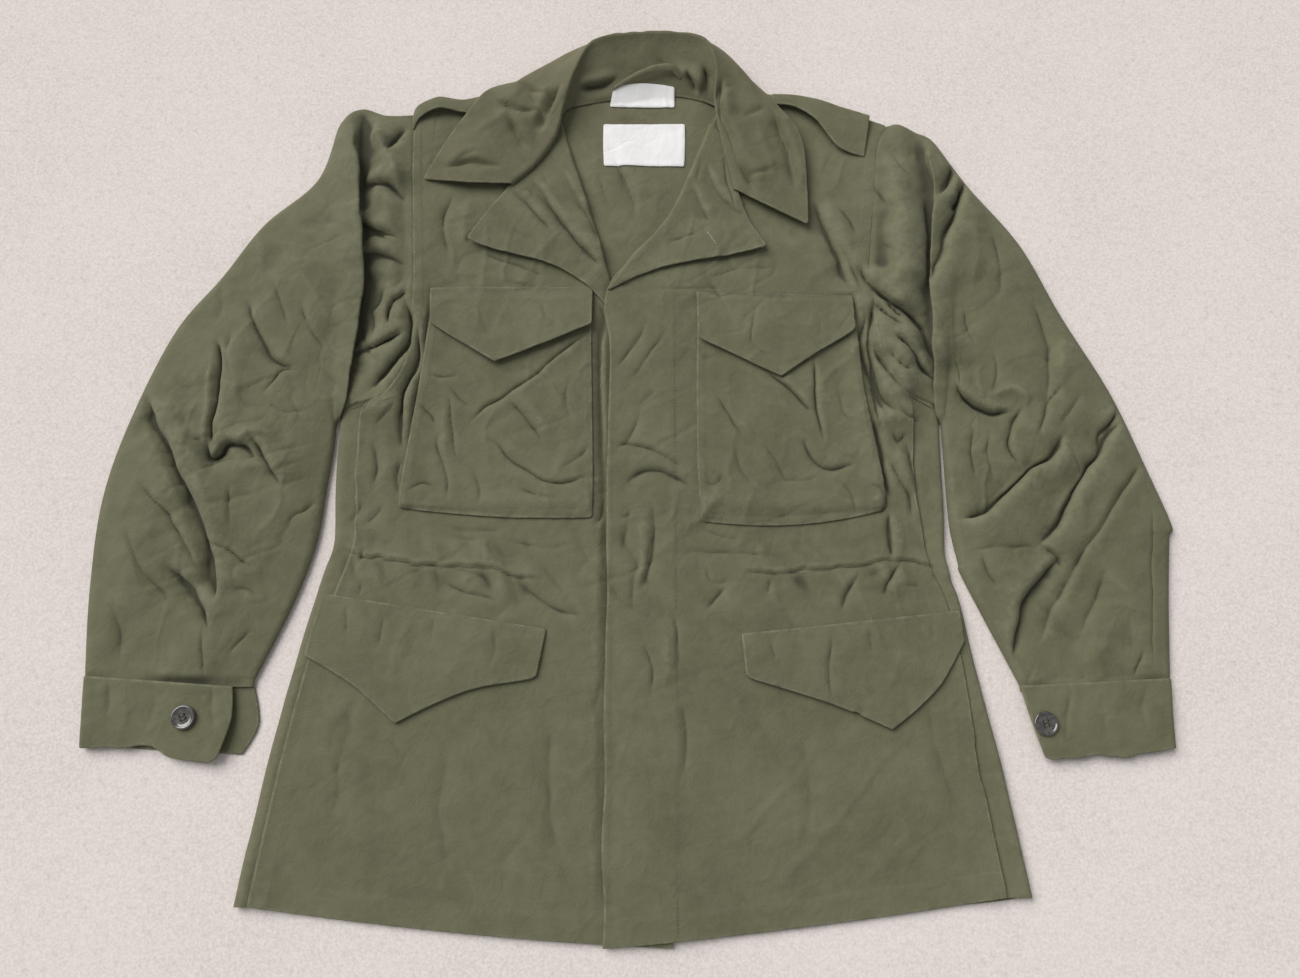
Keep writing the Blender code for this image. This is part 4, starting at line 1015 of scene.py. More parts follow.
def piece(name, parts, finish, nodes=()):
    """One object of one or more walls, in the frame's metres, that rides on the jacket."""
    points, faces, edges, raised, first = [], [], [], [], 0
    for part in parts:
        used = np.unique(part[1])
        fresh = np.zeros(len(part[0]), int)
        fresh[used] = np.arange(len(used)) + first
        points.append(part[0][used])
        faces.append(fresh[part[1]])
        edges.append(part[2][used])
        raised.append(part[3][used])
        first += len(used)
    mesh = bpy.data.meshes.new(name)
    mesh.from_pydata((np.concatenate(points) - ORIGIN) * MM, [], np.concatenate(faces))
    for label, values in (("edge", edges), ("raised", raised)):
        layer = mesh.attributes.new(label, "FLOAT", "POINT")
        layer.data.foreach_set("value", np.concatenate(values).astype(np.float32))
    mesh.shade_smooth()
    mesh.materials.append(finish)
    made = placed(name, mesh)
    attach(made, "root")
    if nodes:
        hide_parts(*nodes)
    return made


# Thread


SPINDLE = [(0.0, 0.35), (0.5, 1.0), (1.0, 0.35)]  # shares of a stitch's length and thickness


def stitches(line, up, pitch=3.1, gauge=0.42):
    """Short raised stitches along a line of points on the cloth's face."""
    line, up = np.asarray(line), np.asarray(up)
    run = lengths(line)
    count = int(run[-1] // pitch)
    if count < 1:
        return None
    start = (np.arange(count) + 0.16) * pitch
    ends = []
    for reach in (start, start + 0.7 * pitch):
        ends.append(np.stack([np.interp(reach, run, line[:, k]) for k in range(3)], -1))
    lift = np.stack([np.interp(start, run, up[:, k]) for k in range(3)], -1)
    along = ends[1] - ends[0]
    aside = np.cross(along, lift)
    aside /= np.maximum(np.linalg.norm(aside, axis=1, keepdims=True), 1e-9)
    points = []
    for share, size in SPINDLE:
        centre = ends[0] + along * share + lift * (0.1 if size == 1.0 else -0.12)
        for side, high in ((1, 0), (0, 1), (-1, 0)):
            points.append(centre + (aside * side + lift * high * 0.7) * gauge * size)
    points = np.stack(points, 1)
    quads = np.array([[k, k + 1, k + 4, k + 3] for k in (0, 1, 3, 4)])
    faces = (quads[None] + 9 * np.arange(count)[:, None, None]).reshape(-1, 4)
    flat = points.reshape(-1, 3)
    return flat, faces, np.full(len(flat), 9.0), np.zeros(len(flat))


# How the body lies on the floor


def row_y(section, x):
    """The height on the floor plan, y, of a row of a front at x."""
    share = np.clip((x - section.side_x) / (section.middle_x - section.side_x), 0, 1)
    along = section.side_y + (section.middle_y - section.side_y) * share
    return along + section.bow * 4 * share * (1 - share)


def unevenness(x, y):
    """The slow rise and fall that all layers of the body share."""
    bent = x + 16 * hills(x, y, 90, 21)
    slow = 1.2 * hills(bent, y * 0.8, 130, 22) + 1.25 * hills(bent, y, 58, 23)
    return slow + 0.5 * hills(x, y, 27, 24) + (0.45 + 0.5 * fade(y, -215, -150)) * crumple(x, y, 26)


def outline_of(sections):
    """The closed outline of a pocket."""
    left = [(s.side_x, s.side_y) for s in sections]
    return left + [(s.middle_x, s.middle_y) for s in reversed(sections)]


def flap_outline(flap):
    """The closed outline of a flap."""
    return flap.left_edge + flap.right_edge[-2::-1]


def across_lapel(row, share):
    """Points at shares of the way from a lapel's free edge to its roll; x and y.

    Its bow is fullest at two thirds of the way, so the lower edge curves down into the fly.
    """
    free_x, free_y, roll_x, roll_y, bow = row
    y = free_y + (roll_y - free_y) * share + bow * 6.75 * share**2 * (1 - share)
    return free_x + (roll_x - free_x) * share, y


def lapel_outline(sections):
    """The closed outline of a lapel."""
    lower_edge = across_lapel(sections[0], np.array([0.9, 0.75, 0.6, 0.45, 0.25]))
    free = [(s.free_x, s.free_y) for s in sections]
    return free + [(s.roll_x, s.roll_y) for s in reversed(sections)] + list(zip(*lower_edge))


def edge_line(sections):
    """The fly edge and roll line of a front, finely divided; x and y."""
    return spline(sections, np.linspace(0, len(sections) - 1, 141))[:, 2:4]


def edge_x(side, y):
    """Where a front's fly edge or roll is at y."""
    xs, ys = EDGES[side].T
    return np.interp(y, ys, xs)


EDGES = {side: edge_line(FRONTS[side]) for side in WORDS}
NECK = [(s.edge_x, s.edge_y) for s in COLLAR]
POCKET_OUTLINES = {side: outline_of(POCKETS[side]) for side in WORDS}


def layers_on(side):
    """What lies on a front, from the cloth up: each one's outline and its creases."""
    return [
        (POCKET_OUTLINES[side], POCKET_CREASES[side]),
        (flap_outline(CHEST_FLAPS[side]), CHEST_FLAP_CREASES[side]),
        (flap_outline(SKIRT_FLAPS[side]), SKIRT_FLAP_CREASES[side]),
        (lapel_outline(LAPELS[side]), LAPEL_CREASES[side]),
    ]


def soft_floor(height, lowest, give):
    """The height, kept above the lowest with a soft bend."""
    over = np.clip((height - lowest) / give, -40, 40)
    return lowest + give * np.log1p(np.exp(over))


def body_height(sections, x, y, loft):
    """Height of a front before its creases: high at the rolled side, low at its seams."""
    side = np.interp(y, [s.side_y for s in sections], [s.side_x for s in sections])
    inward = np.abs(x - side)
    height = SETTLED + (UPPER_LAYER - SETTLED) * bump(inward, FOLD_REACH)
    low = row_y(sections[0], x)
    shoulder = row_y(sections[-1], x)
    free = fade(inward, 0, 50) * fade(y, low, low + 80) * fade(y, shoulder - 4, shoulder - 60)
    free = free * (1 - fade(inside(NECK, x, y), -26, 2))
    height = height + LOFT * free * loft
    height += 4.2 * bump(inward, 36) * fade(y, 60, 140) * fade(y, 318, 240)
    height += unevenness(x, y) * (0.35 + 0.65 * free) * fade(y, shoulder, shoulder - 30)
    height += (SHOULDER_LINE - height) * bump(np.maximum(shoulder - y, 0), 14)
    return height


def casing(path, x, y):
    """The waist's drawn channel: a soft roll, a wavy stitched ridge and small gathers."""
    line = fine_line(path, 8)
    wavy = y + 2.4 * hills(x, 0 * y, 23, 31) + 1.5 * hills(x, 0 * y, 8, 32)
    above, run, _ = beside(line, x, wavy)
    total = lengths(line)[-1]
    full = fade(run, -2, 14) * fade(total - run, -2, 14) * np.where(np.abs(above) < 60, 1, 0)
    ridge = 1.0 * bump(above - 3, 8) + 1.0 * bump(above, 1.6) - 1.6 * bump(above + 2.8, 1.7)
    leaning = x + 0.5 * above + 5 * hills(x, y, 22, 35)
    gathers = 1.7 * hills(leaning, y / 4, 9, 33) + 1.6 * hills(leaning, y / 3, 16, 34)
    return full * (ridge + gathers * (bump(above + 15, 13) + 0.55 * bump(above - 12, 9)))


def covered(x, y):
    """1 where the left front covers the right one, which lies flat there, and 0 elsewhere."""
    return fade(x, -30, -13) * fade(y, BREAK_Y + 12, BREAK_Y - 6)


def front_relief(side, x, y):
    """Rise and shifts of the top layer at each point of a front; those below it follow."""
    moved, bare = np.zeros((3,) + x.shape), np.ones(x.shape)
    for outline, creases in reversed(layers_on(side)):
        cover = fade(inside(outline, x, y), -5, 0)
        moved += relief(creases, x, y) * cover * bare
        bare *= 1 - cover
    moved += relief(FRONT_CREASES[side] + UNDERARM_CREASES[side], x, y) * bare
    return moved * (1 - covered(x, y)) if side == RIGHT else moved


def right_ground(x, y):
    """Height of the middle of the right front's cloth."""
    under = covered(x, y)
    height = body_height(FRONTS[RIGHT], x, y, 1 - under)
    height += front_relief(RIGHT, x, y)[0] + casing(CASINGS[RIGHT], x, y) * (1 - under)
    height += (ON_BACK - height) * under
    return soft_floor(height, ON_BACK, 0.4)


def left_ground(x, y):
    """Height of the middle of the left front's cloth, on the right one at the fly."""
    height = body_height(FRONTS[LEFT], x, y, 1)
    over = fade(x, OVERLAP_END_X, 38) * fade(y, OVERLAP_TOP_Y, BREAK_Y)
    height += OVERLAP_RISE * over
    sealed = fade(y, -110, -150)
    height -= (2.3 * sealed - 0.9 * (1 - sealed)) * bump(x - LEFT_FLY_X, 13) * over
    height += front_relief(LEFT, x, y)[0] + casing(CASINGS[LEFT], x, y)
    lowest = ON_BACK + (PLY + AIR) * fade(x, 42, 37) * fade(y, BREAK_Y + 20, BREAK_Y + 8)
    return soft_floor(height, lowest, 0.4)


GROUNDS = {RIGHT: right_ground, LEFT: left_ground}


def pocket_puff(side, x, y):
    """How far a chest pocket stands off the cloth below it."""
    upward = POCKETS[side][::-1]
    depth = inside(POCKET_OUTLINES[side], x, y)
    outer = np.abs(x - np.interp(y, [s.side_y for s in upward], [s.side_x for s in upward]))
    bellows = BELLOWS[side] * bump(outer - 3, 10) * fade(y, -74, -40) * fade(y, 128, 90)
    low = 1.7 * bump(y - upward[0].side_y - 4, 9)
    return 0.9 * fade(depth, 0, 16) + bellows + low * fade(depth, -1, 3)


def pocket_height(side, x, y):
    """Height of the middle of a chest pocket's cloth."""
    return GROUNDS[side](x, y) + PLY + AIR + pocket_puff(side, x, y)


def chest_height(side, x, y):
    """Height of the middle of a double layer that lies on a front and its chest pocket."""
    cover = fade(inside(POCKET_OUTLINES[side], x, y), -10, -1)
    return skirt_height(side, x, y) + cover * (PLY + AIR + pocket_puff(side, x, y))


def skirt_height(side, x, y):
    """Height of the middle of a double layer that lies on a front."""
    return GROUNDS[side](x, y) + LAID_ON


def back_height(x, y):
    """Height of the back panel, which shows its inner side at the neck."""
    right, left = edge_x(RIGHT, y), edge_x(LEFT, y)
    open_neck = fade(x, right + 2, right + 22) * fade(x, left - 2, left - 22)
    open_neck *= fade(y, 160, 205) * fade(y, 368, 350)
    rise = 1.3 + relief(INNER_BACK_CREASES, x, y)[0] + 0.8 * unevenness(x * 1.3, y * 1.3)
    return FLOOR_LAYER + np.maximum(rise, 0) * open_neck


# The pieces


def seam_waves(middle, size, seed):
    """Small puckers along the sewn edges of a grid of points."""
    x, y = middle[..., 0], middle[..., 1]
    return size * hills(x, y, 6.5, seed) * bump(inset(middle, False), 7)


def thicker(middle, width, rise):
    """A turned edge or hem: the cloth is thicker up to a distance from its edges."""
    return rise * fade(inset(middle, False), width + 1.2, width - 1.2)


def shifted(middle, side):
    """The points, moved sideways where a crease's lip leans over."""
    _, aside, along = front_relief(side, middle[..., 0], middle[..., 1])
    return middle + np.stack([aside, along, 0 * aside], -1)


def lifted(middle, rise):
    """The points, moved up."""
    middle = middle.copy()
    middle[..., 2] += rise
    return middle


SHOULDER_TURN = [(0, 1.1, -0.35), (0, 1.9, -0.9), (0, 2.2, -1.6)]


def front_grid(side):
    """A front from its side seam to its fly edge, with its top turned over the shoulder."""
    sections = FRONTS[side]
    waist = sections[WAIST_ROW]
    wide = abs(waist.middle_x - waist.side_x)
    places, share = patch(sections, FRONT_STEP, ((0, 1), (2, 3)), wide)
    x, y = across(sections, places, share)
    if side == LEFT:
        wander = 1.8 * hills(0 * y, y, 52, 45) * bump(x - LEFT_FLY_X, 16)
        x = x + wander * fade(y, BREAK_Y, 120)
    seam = share * wide
    side_ridge = 0.8 * bump(seam, 4.5) * fade(y, -395, -380) * fade(y, 45, 20)
    z = GROUNDS[side](x, y) + side_ridge - 0.3 * bump(seam, 3) * fade(y, 45, 80)
    middle = grid(x, y, z)
    hem = np.abs(y - row_y(sections[0], x))
    welts = 0.5 * fade(hem, HEM_STITCH + 2, HEM_STITCH - 0.5)
    welts += 0.35 * fade(seam, SIDE_STITCH + 2.5, SIDE_STITCH + 0.5)
    if side == LEFT:
        fly_half = (FLY_STITCH_X - LEFT_FLY_X) / 2
        from_middle = np.abs(x - LEFT_FLY_X - fly_half)
        from_edge = np.abs(x - edge_x(side, y))
        welts += 0.45 * fade(from_middle, fly_half + 1, fly_half - 1) * fade(y, BREAK_Y - 2, BREAK_Y - 18)
        welts += 0.4 * fade(from_edge, 3.4, 1.6)
    middle = shifted(lifted(middle, welts + seam_waves(middle, 0.3, 42)), side)
    turned_over = [middle[-1] + np.array(step) for step in SHOULDER_TURN]
    for row in turned_over:
        row[:, 2] = np.maximum(row[:, 2], 0.7)
    return np.concatenate([middle, np.array(turned_over)])


def make_front(side):
    """A front's cloth, and the lines of stitches along its hem, side seam and fly."""
    middle = front_grid(side)
    cloth = [shell(middle, PLY, side, turning=TURNING)]
    top, up = faces_of(middle, PLY, side)
    hem = round(HEM_STITCH / FRONT_STEP)
    seams = [(top[hem], up[hem])]
    for column in (1, round(SIDE_STITCH / FRONT_STEP)):
        seams.append((top[1:-8, column], up[1:-8, column]))
    if side == LEFT:
        share = (FLY_STITCH_X - top[:, 0, 0]) / (top[:, -1, 0] - top[:, 0, 0])
        rows = rows_below(top, BREAK_Y)
        columns = np.round(share[rows] * (top.shape[1] - 1)).astype(int)
        line = top[rows, columns]
        line[:, 0] = FLY_STITCH_X
        seams.append((line, up[rows, columns]))
        rows = rows_below(top, BREAK_Y - 4)
        seams.append((top[rows, -3], up[rows, -3]))
    return cloth, seams


def rows_below(top, highest):
    """The rows of a front's face, from the second on, whose fly edge is below a height."""
    return np.arange(1, len(top))[top[1:, -1, 1] < highest]


def faces_of(middle, thick, outward, closed=False):
    """The points of a grid's outer face and their normals."""
    up = normals(middle, closed) * outward
    return middle + up * thick / 2, up


def back_grid():
    """The panel on the floor, finest at the neck, where its inner side shows."""
    sections = [
        (b.right_fold_x, r.side_y, b.left_fold_x, l.side_y, b.bow)
        for b, r, l in zip(BACK, FRONTS[RIGHT], FRONTS[LEFT])
    ]
    places, _ = stations(sections, BACK_STEP, ((0, 1),))
    coarse, _ = stations(sections, COARSER * BACK_STEP, ((0, 1),))
    places = np.concatenate([coarse[coarse < NECK_ROW], places[places >= NECK_ROW]])
    rows = spline(sections, places)
    shares = np.concatenate([
        np.linspace(0, 0.27, 17)[:-1], np.linspace(0.27, 0.77, 92), np.linspace(0.77, 1, 15)[1:],
    ])
    right_x, right_y, left_x, left_y, bow = (column[:, None] for column in rows.T)
    tuck = 8.0 * fade(places, 8.6, 7.6)[:, None]
    x = right_x + tuck + (left_x - right_x - 2 * tuck) * shares
    swell = bow * np.sin(math.pi * shares) ** 0.7
    y = right_y + (left_y - right_y) * shares + swell
    return grid(x, y, back_height(x, y))


# Round the back's side fold, from below: how far in from the fold, and the height
UNDER_FOLD = [(8.0, 0.6), (6.0, 0.6), (3.6, 0.75), (1.7, 1.2), (0.5, 2.0), (0, 2.9)]
OVER_FOLD = [(0.4, 3.8), (1.4, 4.5), (3.2, 4.9), (5.6, SEAM_TOP)]


def side_strip(side):
    """The part of the back that rolls up round its side fold and on to the side seam."""
    sections = FRONTS[side]
    edges = [
        (b.right_fold_x if side == RIGHT else b.left_fold_x, s.side_x, s.side_y)
        for b, s in zip(BACK[: ARMPIT_ROW + 1], sections)
    ]
    places, _ = stations(edges, SIDE_STEP, ((0, 2),))
    fold_x, seam_x, y = (column[:, None] for column in spline(edges, places).T)
    inward, height = np.array(UNDER_FOLD + OVER_FOLD).T
    near_x = fold_x + side * inward
    run = np.linspace(0, 1, 15)[1:]
    far_x = near_x[:, -1:] + (seam_x + side * 3.5 - near_x[:, -1:]) * run
    x = np.concatenate([near_x, far_x], 1)
    hole = np.array(sorted(ARMHOLES[side][:3]))
    reach_up = np.interp(x, hole[:, 0], hole[:, 1]) + 0.8 - sections[ARMPIT_ROW].side_y
    y = y + reach_up * fade(places, ARMPIT_ROW - 0.45, ARMPIT_ROW)[:, None]
    flat = np.concatenate([height, np.full(len(run), SEAM_TOP)])
    share = np.concatenate([np.zeros(len(inward)), run])
    follow = GROUNDS[side](x, y) - PLY - 0.25
    top = np.where(share > 0, flat + (follow - flat) * fade(share, 0.05, 1), flat)
    waist_y = CASINGS[side][0 if side == RIGHT else -1][1]
    pinch = 1.4 * bump(y - waist_y, 9) - 1.2 * bump(y - waist_y + 13, 6)
    bulge = 1.2 * hills(x * 0.3, y, 42, 51) + pinch
    high = np.clip((top - 0.6) / 4.4, 0, 1)
    return grid(x - side * 0.8 * bulge * high, y, top + 0.5 * bulge * high * (1 - share))


ROUND_SLEEVE = np.linspace(0, 1, 41)  # shares of the way from a sleeve's outer fold to its inner one


def evenly(line):
    """The x and the y of points at the sleeve's shares of the way along a line."""
    run = lengths(line)
    return [np.interp(ROUND_SLEEVE, run / run[-1], line[:, k]) for k in (0, 1)]


def outlines(side):
    """Each row of a sleeve as points from its outer fold to its inner one, then the armhole."""
    rows = []
    for row in SLEEVES[side]:
        rows.append([*evenly(fine_line(np.array(row[:8]).reshape(4, 2), 20)), row.crest])
    armhole = ARMHOLES[side]
    seam = np.stack(evenly(spline(armhole[::-1], np.linspace(0, len(armhole) - 1, 141))))
    away = np.gradient(seam, axis=1)
    away = np.stack([-away[1], away[0]]) / np.linalg.norm(away, axis=0) * side
    rows.append([*(seam - away * 0.5), 5.0])
    rows.append([*(seam + away * 3.5), 4.0])
    return [np.concatenate([x, y, [crest]]) for x, y, crest in rows]


def long_folds(x, y, side):
    """Shallow folds that run down a sleeve."""
    along = y * 0.88 + side * x * 0.47
    aside = x * 0.88 - side * y * 0.47
    aside = aside + 10 * hills(x, y, 80, 64)
    return 2.0 * hills(along / 3.4, aside, 30, 65) + 0.8 * hills(along / 2.6, aside, 15, 66)


def sleeve_rings(side):
    """The points round a sleeve at each of its places, as rows of values.

    They are x, y, the share of the way to the inner fold, the place in the sleeve's table, the
    crest's height, whether they are below, and how far they are from the nearer fold.
    """
    around = outlines(side)
    count = len(ROUND_SLEEVE)
    third = count // 3
    places, _ = stations(around, SLEEVE_STEP, ((0, count), (third, count + third)))
    rows = spline(around, places)
    xs, ys, crest = rows[:, :count], rows[:, count : 2 * count], rows[:, 2 * count]
    wide = np.linalg.norm(np.diff(np.stack([xs, ys], -1), axis=1), axis=2).sum(1)
    reach = FOLD_ROUND * (1 - np.cos(np.linspace(0, math.pi / 2, 6)))
    rings = []
    for k, place in enumerate(places):
        arc = reach / wide[k]
        over = np.concatenate([arc, np.linspace(arc[-1], 1 - arc[-1], 126)[1:-1], 1 - arc[::-1]])
        below = np.concatenate([1 - arc[1:], np.linspace(1 - arc[-1], arc[-1], 26)[1:-1], arc[:0:-1]])
        share = np.concatenate([over, below])
        rings.append(np.stack([
            np.interp(share, ROUND_SLEEVE, xs[k]), np.interp(share, ROUND_SLEEVE, ys[k]),
            share, share * 0 + place, share * 0 + crest[k],
            np.arange(len(share)) >= len(over), np.minimum(share, 1 - share) * wide[k],
        ], -1))
    return np.moveaxis(np.array(rings), -1, 0)


def sleeve_grid(side):
    """A flat tube, ring by ring, from inside its cuff to under the front's armhole edge."""
    x, y, share, place, crest, low, far = sleeve_rings(side)
    from_fold = place - (len(SLEEVES[side]) - 3)
    round_off = np.sqrt(np.clip(1 - (1 - np.clip(far / FOLD_ROUND, 0, 1)) ** 2, 0, 1))
    dome = np.sin(math.pi * np.clip(share, 0, 1)) ** 0.55
    uneven = (unevenness(x, y) * 1.25 + long_folds(x, y, side)) * fade(far, 4, 40)
    creases = SLEEVE_CREASES[side] + UNDERARM_CREASES[side]
    moved = relief(creases, x, y) * fade(far, 1, 9)
    gathered = (0.7 * hills(x, y / 6, 8, 61) + 0.5 * hills(x, y / 5, 14, 62)) * bump(place, 0.28)
    height = UPPER_LAYER + (crest - UPPER_LAYER) * dome + uneven + moved[0] + gathered
    seam = GROUNDS[side](x, y) + 0.2
    height += (seam - height) * fade(from_fold, 2.2, 2.9) - (PLY + 0.45) * fade(from_fold, 2.92, 3.1)
    height = soft_floor(height, 2.3, 0.5)
    inside_cuff = bump(np.maximum(place - 0.02, 0), 0.05)
    height += (4.1 - height) * inside_cuff
    top = 2.8 + (height - 2.8) * round_off
    under = 2.8 - (2.2 - 1.9 * inside_cuff) * round_off
    overhang = 9.5 * side * bump(from_fold, 0.42) * np.clip((top - 4) / 11, 0, 1)
    overhang += 3.5 * side * bump(from_fold, 0.35) * hills(y, x * 0, 40, 63) * round_off
    above = np.where(low > 0, 0, 1)
    x, y = x + (overhang + moved[1]) * above, y + moved[2] * above
    middle = grid(x, y, np.where(low > 0, under, top))
    cuff_end = middle[0] - [0, 5.0, 0]
    return np.concatenate([cuff_end[None], middle])


def cuff_path(row):
    """Points round a folded cuff at one row: over it, round its outer fold and back below."""
    outer_x, outer_y, upper_x, upper_y, under_x, under_y = row
    side = math.copysign(1, upper_x - outer_x)
    low, radius = DOUBLE / 2, (CUFF_TOP - DOUBLE / 2) / 2
    start = np.array([upper_x, upper_y, CUFF_TOP])
    fold = np.array([outer_x + side * CUFF_FOLD, outer_y, CUFF_TOP])
    path = [start + (fold - start) * t for t in np.linspace(0, 1, 84)[:-1]]
    for turn in np.linspace(math.pi / 2, -math.pi / 2, 9):
        reach = CUFF_FOLD * (1 - math.cos(turn))
        path.append([outer_x + side * reach, outer_y, low + radius + radius * math.sin(turn)])
    end, fold = np.array([under_x, under_y, low]), np.array(path[-1])
    return np.array(path + [fold + (end - fold) * t for t in np.linspace(0, 1, 36)[1:]])


def cuff_grid(side):
    """A cuff from one free end over, round its outer fold and below to the other."""
    sections = CUFFS[side]
    places, _ = stations(sections, CUFF_STEP, ((0, 1), (2, 3)))
    middle = np.array([cuff_path(row) for row in spline(sections, places)])
    x, y, z = np.moveaxis(middle, -1, 0)
    top = fade(z, 3.4, 5.5)
    wrist = np.array(CUFF_EDGES[side])
    y = y + (np.interp(x, wrist[:, 0], wrist[:, 1]) - y[-1:]) * top * (places[:, None] / 2) ** 2
    y = y + 1.2 * hills(x, y * 0, 13, 74) * top * fade(places, 1.3, 2)[:, None]
    wave = 0.7 * hills(x, y, 48, 71) + 0.35 * hills(x, y, 17, 72) + 0.25 * hills(x, y, 7, 73)
    wave = np.maximum(wave, -0.9) * fade(inset(middle, False), 0, 9)
    curl = CUFF_CURLS[side] * bump(x - sections[1].upper_x, 16) * fade(y, -222, -268)
    crease = relief(CUFF_CREASES[side], x, y)[0]
    return grid(x, y, z + top * (wave + curl + crease))


def collar_profile(sections, share):
    """Points on the stand and fall at one row's places; share runs from the foot to the edge."""
    foot, roll, brow, edge = np.moveaxis(sections.reshape(-1, 4, 3), 1, 0)
    rise = np.array([0, 0, 1.2])
    knots = np.stack([
        foot, (foot + roll) / 2, roll + (foot - roll) * 0.14, roll + rise,
        roll + (brow - roll) * 0.14 + rise * 0.6, (roll + brow) / 2, brow, (brow + edge) / 2, edge,
    ], 1)
    middle = knots[len(knots) // 2]
    run = lengths(middle)
    place = np.interp(share, run / run[-1], np.arange(9))
    start = np.minimum(place.astype(int), 7)
    here = np.arange(len(share))
    near = [knots[here, np.clip(start + k, 0, 8)] for k in (-1, 0, 1, 2)]
    return curve(near, (place - start)[:, None])


def collar_grid():
    """The collar from its neck seam up the stand, over the roll and down to its free edge."""
    places, share = patch(COLLAR, COLLAR_STEP, ((3, 4), (9, 10)), COLLAR_WIDE, (0, 4, 0, 4))
    rows = spline(COLLAR, places)
    middle = np.array([collar_profile(row, s) for row, s in zip(rows, share)])
    x, y, z = np.moveaxis(middle, -1, 0)
    fall, stand = fade(share, 0.21, 0.36), 1 - fade(share, 0.2, 0.34)
    creases = relief(COLLAR_CREASES, x, y)[0] * fall
    wave = 1.0 * hills(x, y, 60, 81) + 0.5 * hills(x, y, 26, 82) + 0.2 * hills(x, y, 9, 83)
    ends = fade(inset(middle, False), 0, 14)
    at_back = fade(y, 320, 350)
    out = 2.2 * hills(x, z * 2, 24, 84) * stand * fade(share, 0.02, 0.12) * at_back
    folds = relief(STAND_CREASES, x, y)[0] * stand * fade(share, 0.01, 0.05)
    z = z + 1.2 * folds + creases + wave * (0.3 + 0.7 * ends) * fade(share, 0.03, 0.2)
    ground = np.where(x < 10, right_ground(x, y), left_ground(x, y)) + LAID_ON
    z = z + (ground + 0.35 - z) * fade(share, 0.14, 0) * fade(y, 330, 315)
    middle = grid(x, y + out - 0.9 * folds, z)
    return lifted(middle, seam_waves(middle, 0.25, 85) * fall)


def lapel_grid(side):
    """A lapel from its free edge to the roll, which wraps the front's edge."""
    sections = LAPELS[side]
    places, share = patch(sections, LAPEL_STEP, ((0, 1),), LAPEL_WIDE, (LAPEL_CORNER, 0, 0, 0))
    row = np.moveaxis(spline(sections, places), -1, 0)
    row[2] += (edge_x(side, row[3]) - row[2]) * fade(places, 0, 1)
    x, y = across_lapel(row, share)
    down = 1 - np.clip(places / (len(sections) - 1), 0, 1)
    lift = LAPEL_LIFTS[side] * (1 - share) ** 0.8 * (0.12 + 0.88 * down**2.2)
    at_roll = bump(np.hypot(x - row[2], y - row[3]), 15)
    full = 2.4 * at_roll * fade(down, 0, 0.35) * fade(y, 152, 180)
    z = GROUNDS[side](x, y) + LAID_ON + lift + full
    turns = np.linspace(0, 2.5, 8)[1:]
    last_x, last_y, last_z = x[:, -1:], y[:, -1:], z[:, -1:]
    round_x = last_x + side * LAPEL_ROLL * np.sin(turns)
    round_z = np.maximum(last_z - LAPEL_ROLL * (1 - np.cos(turns)), 2.2)
    middle = np.concatenate([grid(x, y, z), grid(round_x, last_y, round_z)], 1)
    waves = seam_waves(middle, 0.25, 91) * fade(middle[..., 2], 2.2, 4)
    return shifted(lifted(middle, waves), side)


def pocket_grid(side):
    """A chest pocket from its mouth to its bottom."""
    sections = POCKETS[side]
    corners = (0, 0, POCKET_CORNERS[side], INNER_CORNER)
    places, share = patch(sections, POCKET_STEP, ((0, 1), (2, 3)), POCKET_WIDE, corners)
    x, y = across(sections, places, share)
    middle = shifted(grid(x, y, pocket_height(side, x, y)), side)
    return lifted(middle, seam_waves(middle, 0.28, 95) + thicker(middle, 6.5, 0.35))


def flap_grid(flap, side, height):
    """A pointed flap from its seam down to its free edge, each half curved to the point."""
    point = flap.left_edge[-1]
    (left_x, _), (right_x, _) = flap.top
    peak = (point[0] - left_x) / (right_x - left_x)
    across_left, across_right = (
        spline(edge[2:], np.linspace(0, len(edge) - 3, 60)) for edge in (flap.left_edge, flap.right_edge)
    )
    wide = right_x - left_x
    deep = abs(flap.top[0][1] - point[1]) * 0.75
    down, over = round(deep / FLAP_STEP), round(wide / FLAP_STEP)
    share = np.linspace(0, 1, over + 1)
    share[np.abs(share - peak).argmin()] = peak
    low = []
    for t in share:
        edge, s = (across_left, t / peak) if t <= peak else (across_right, (1 - t) / (1 - peak))
        run = lengths(edge)
        low.append([np.interp(min(s, 1), run / run[-1], edge[:, k]) for k in (0, 1)])
    top = np.array(flap.top[0]) + np.outer(share, np.subtract(flap.top[1], flap.top[0]))
    v = np.linspace(0, 1, down + 1)[:, None, None]
    x, y = np.moveaxis(top[None] * (1 - v) + np.array(low)[None] * v, -1, 0)
    v = v[..., 0]
    lifts = np.interp(share, [0, peak, 1], [flap.left_lift, flap.point_lift, flap.right_lift])
    z = height(side, x, y) + lifts * v**1.7 + 0.7 * fade(v, 0, 0.25) * fade(v, 1, 0.6)
    z -= 0.5 * bump(v * deep, 3)
    middle = shifted(grid(x, y, z), side)
    return lifted(middle, seam_waves(middle, 0.28, 101))


def strip_grid(strips):
    """A loop of doubled cloth over its two edge lines, a little full between them."""
    places, _ = stations(strips, STRIP_STEP, ((0, 1), (3, 4)))
    rows = spline(strips, places)
    wide = np.linalg.norm(rows[:, :3] - rows[:, 3:], axis=1).max()
    share = np.linspace(0, 1, round(wide / STRIP_STEP) + 1)[None, :, None]
    middle = rows[:, None, :3] * (1 - share) + rows[:, None, 3:] * share
    x, y = middle[..., 0], middle[..., 1]
    full = np.sin(math.pi * share[..., 0]) * 0.8
    return lifted(middle, full + 0.5 * hills(x, y, 22, 111) + seam_waves(middle, 0.25, 112))


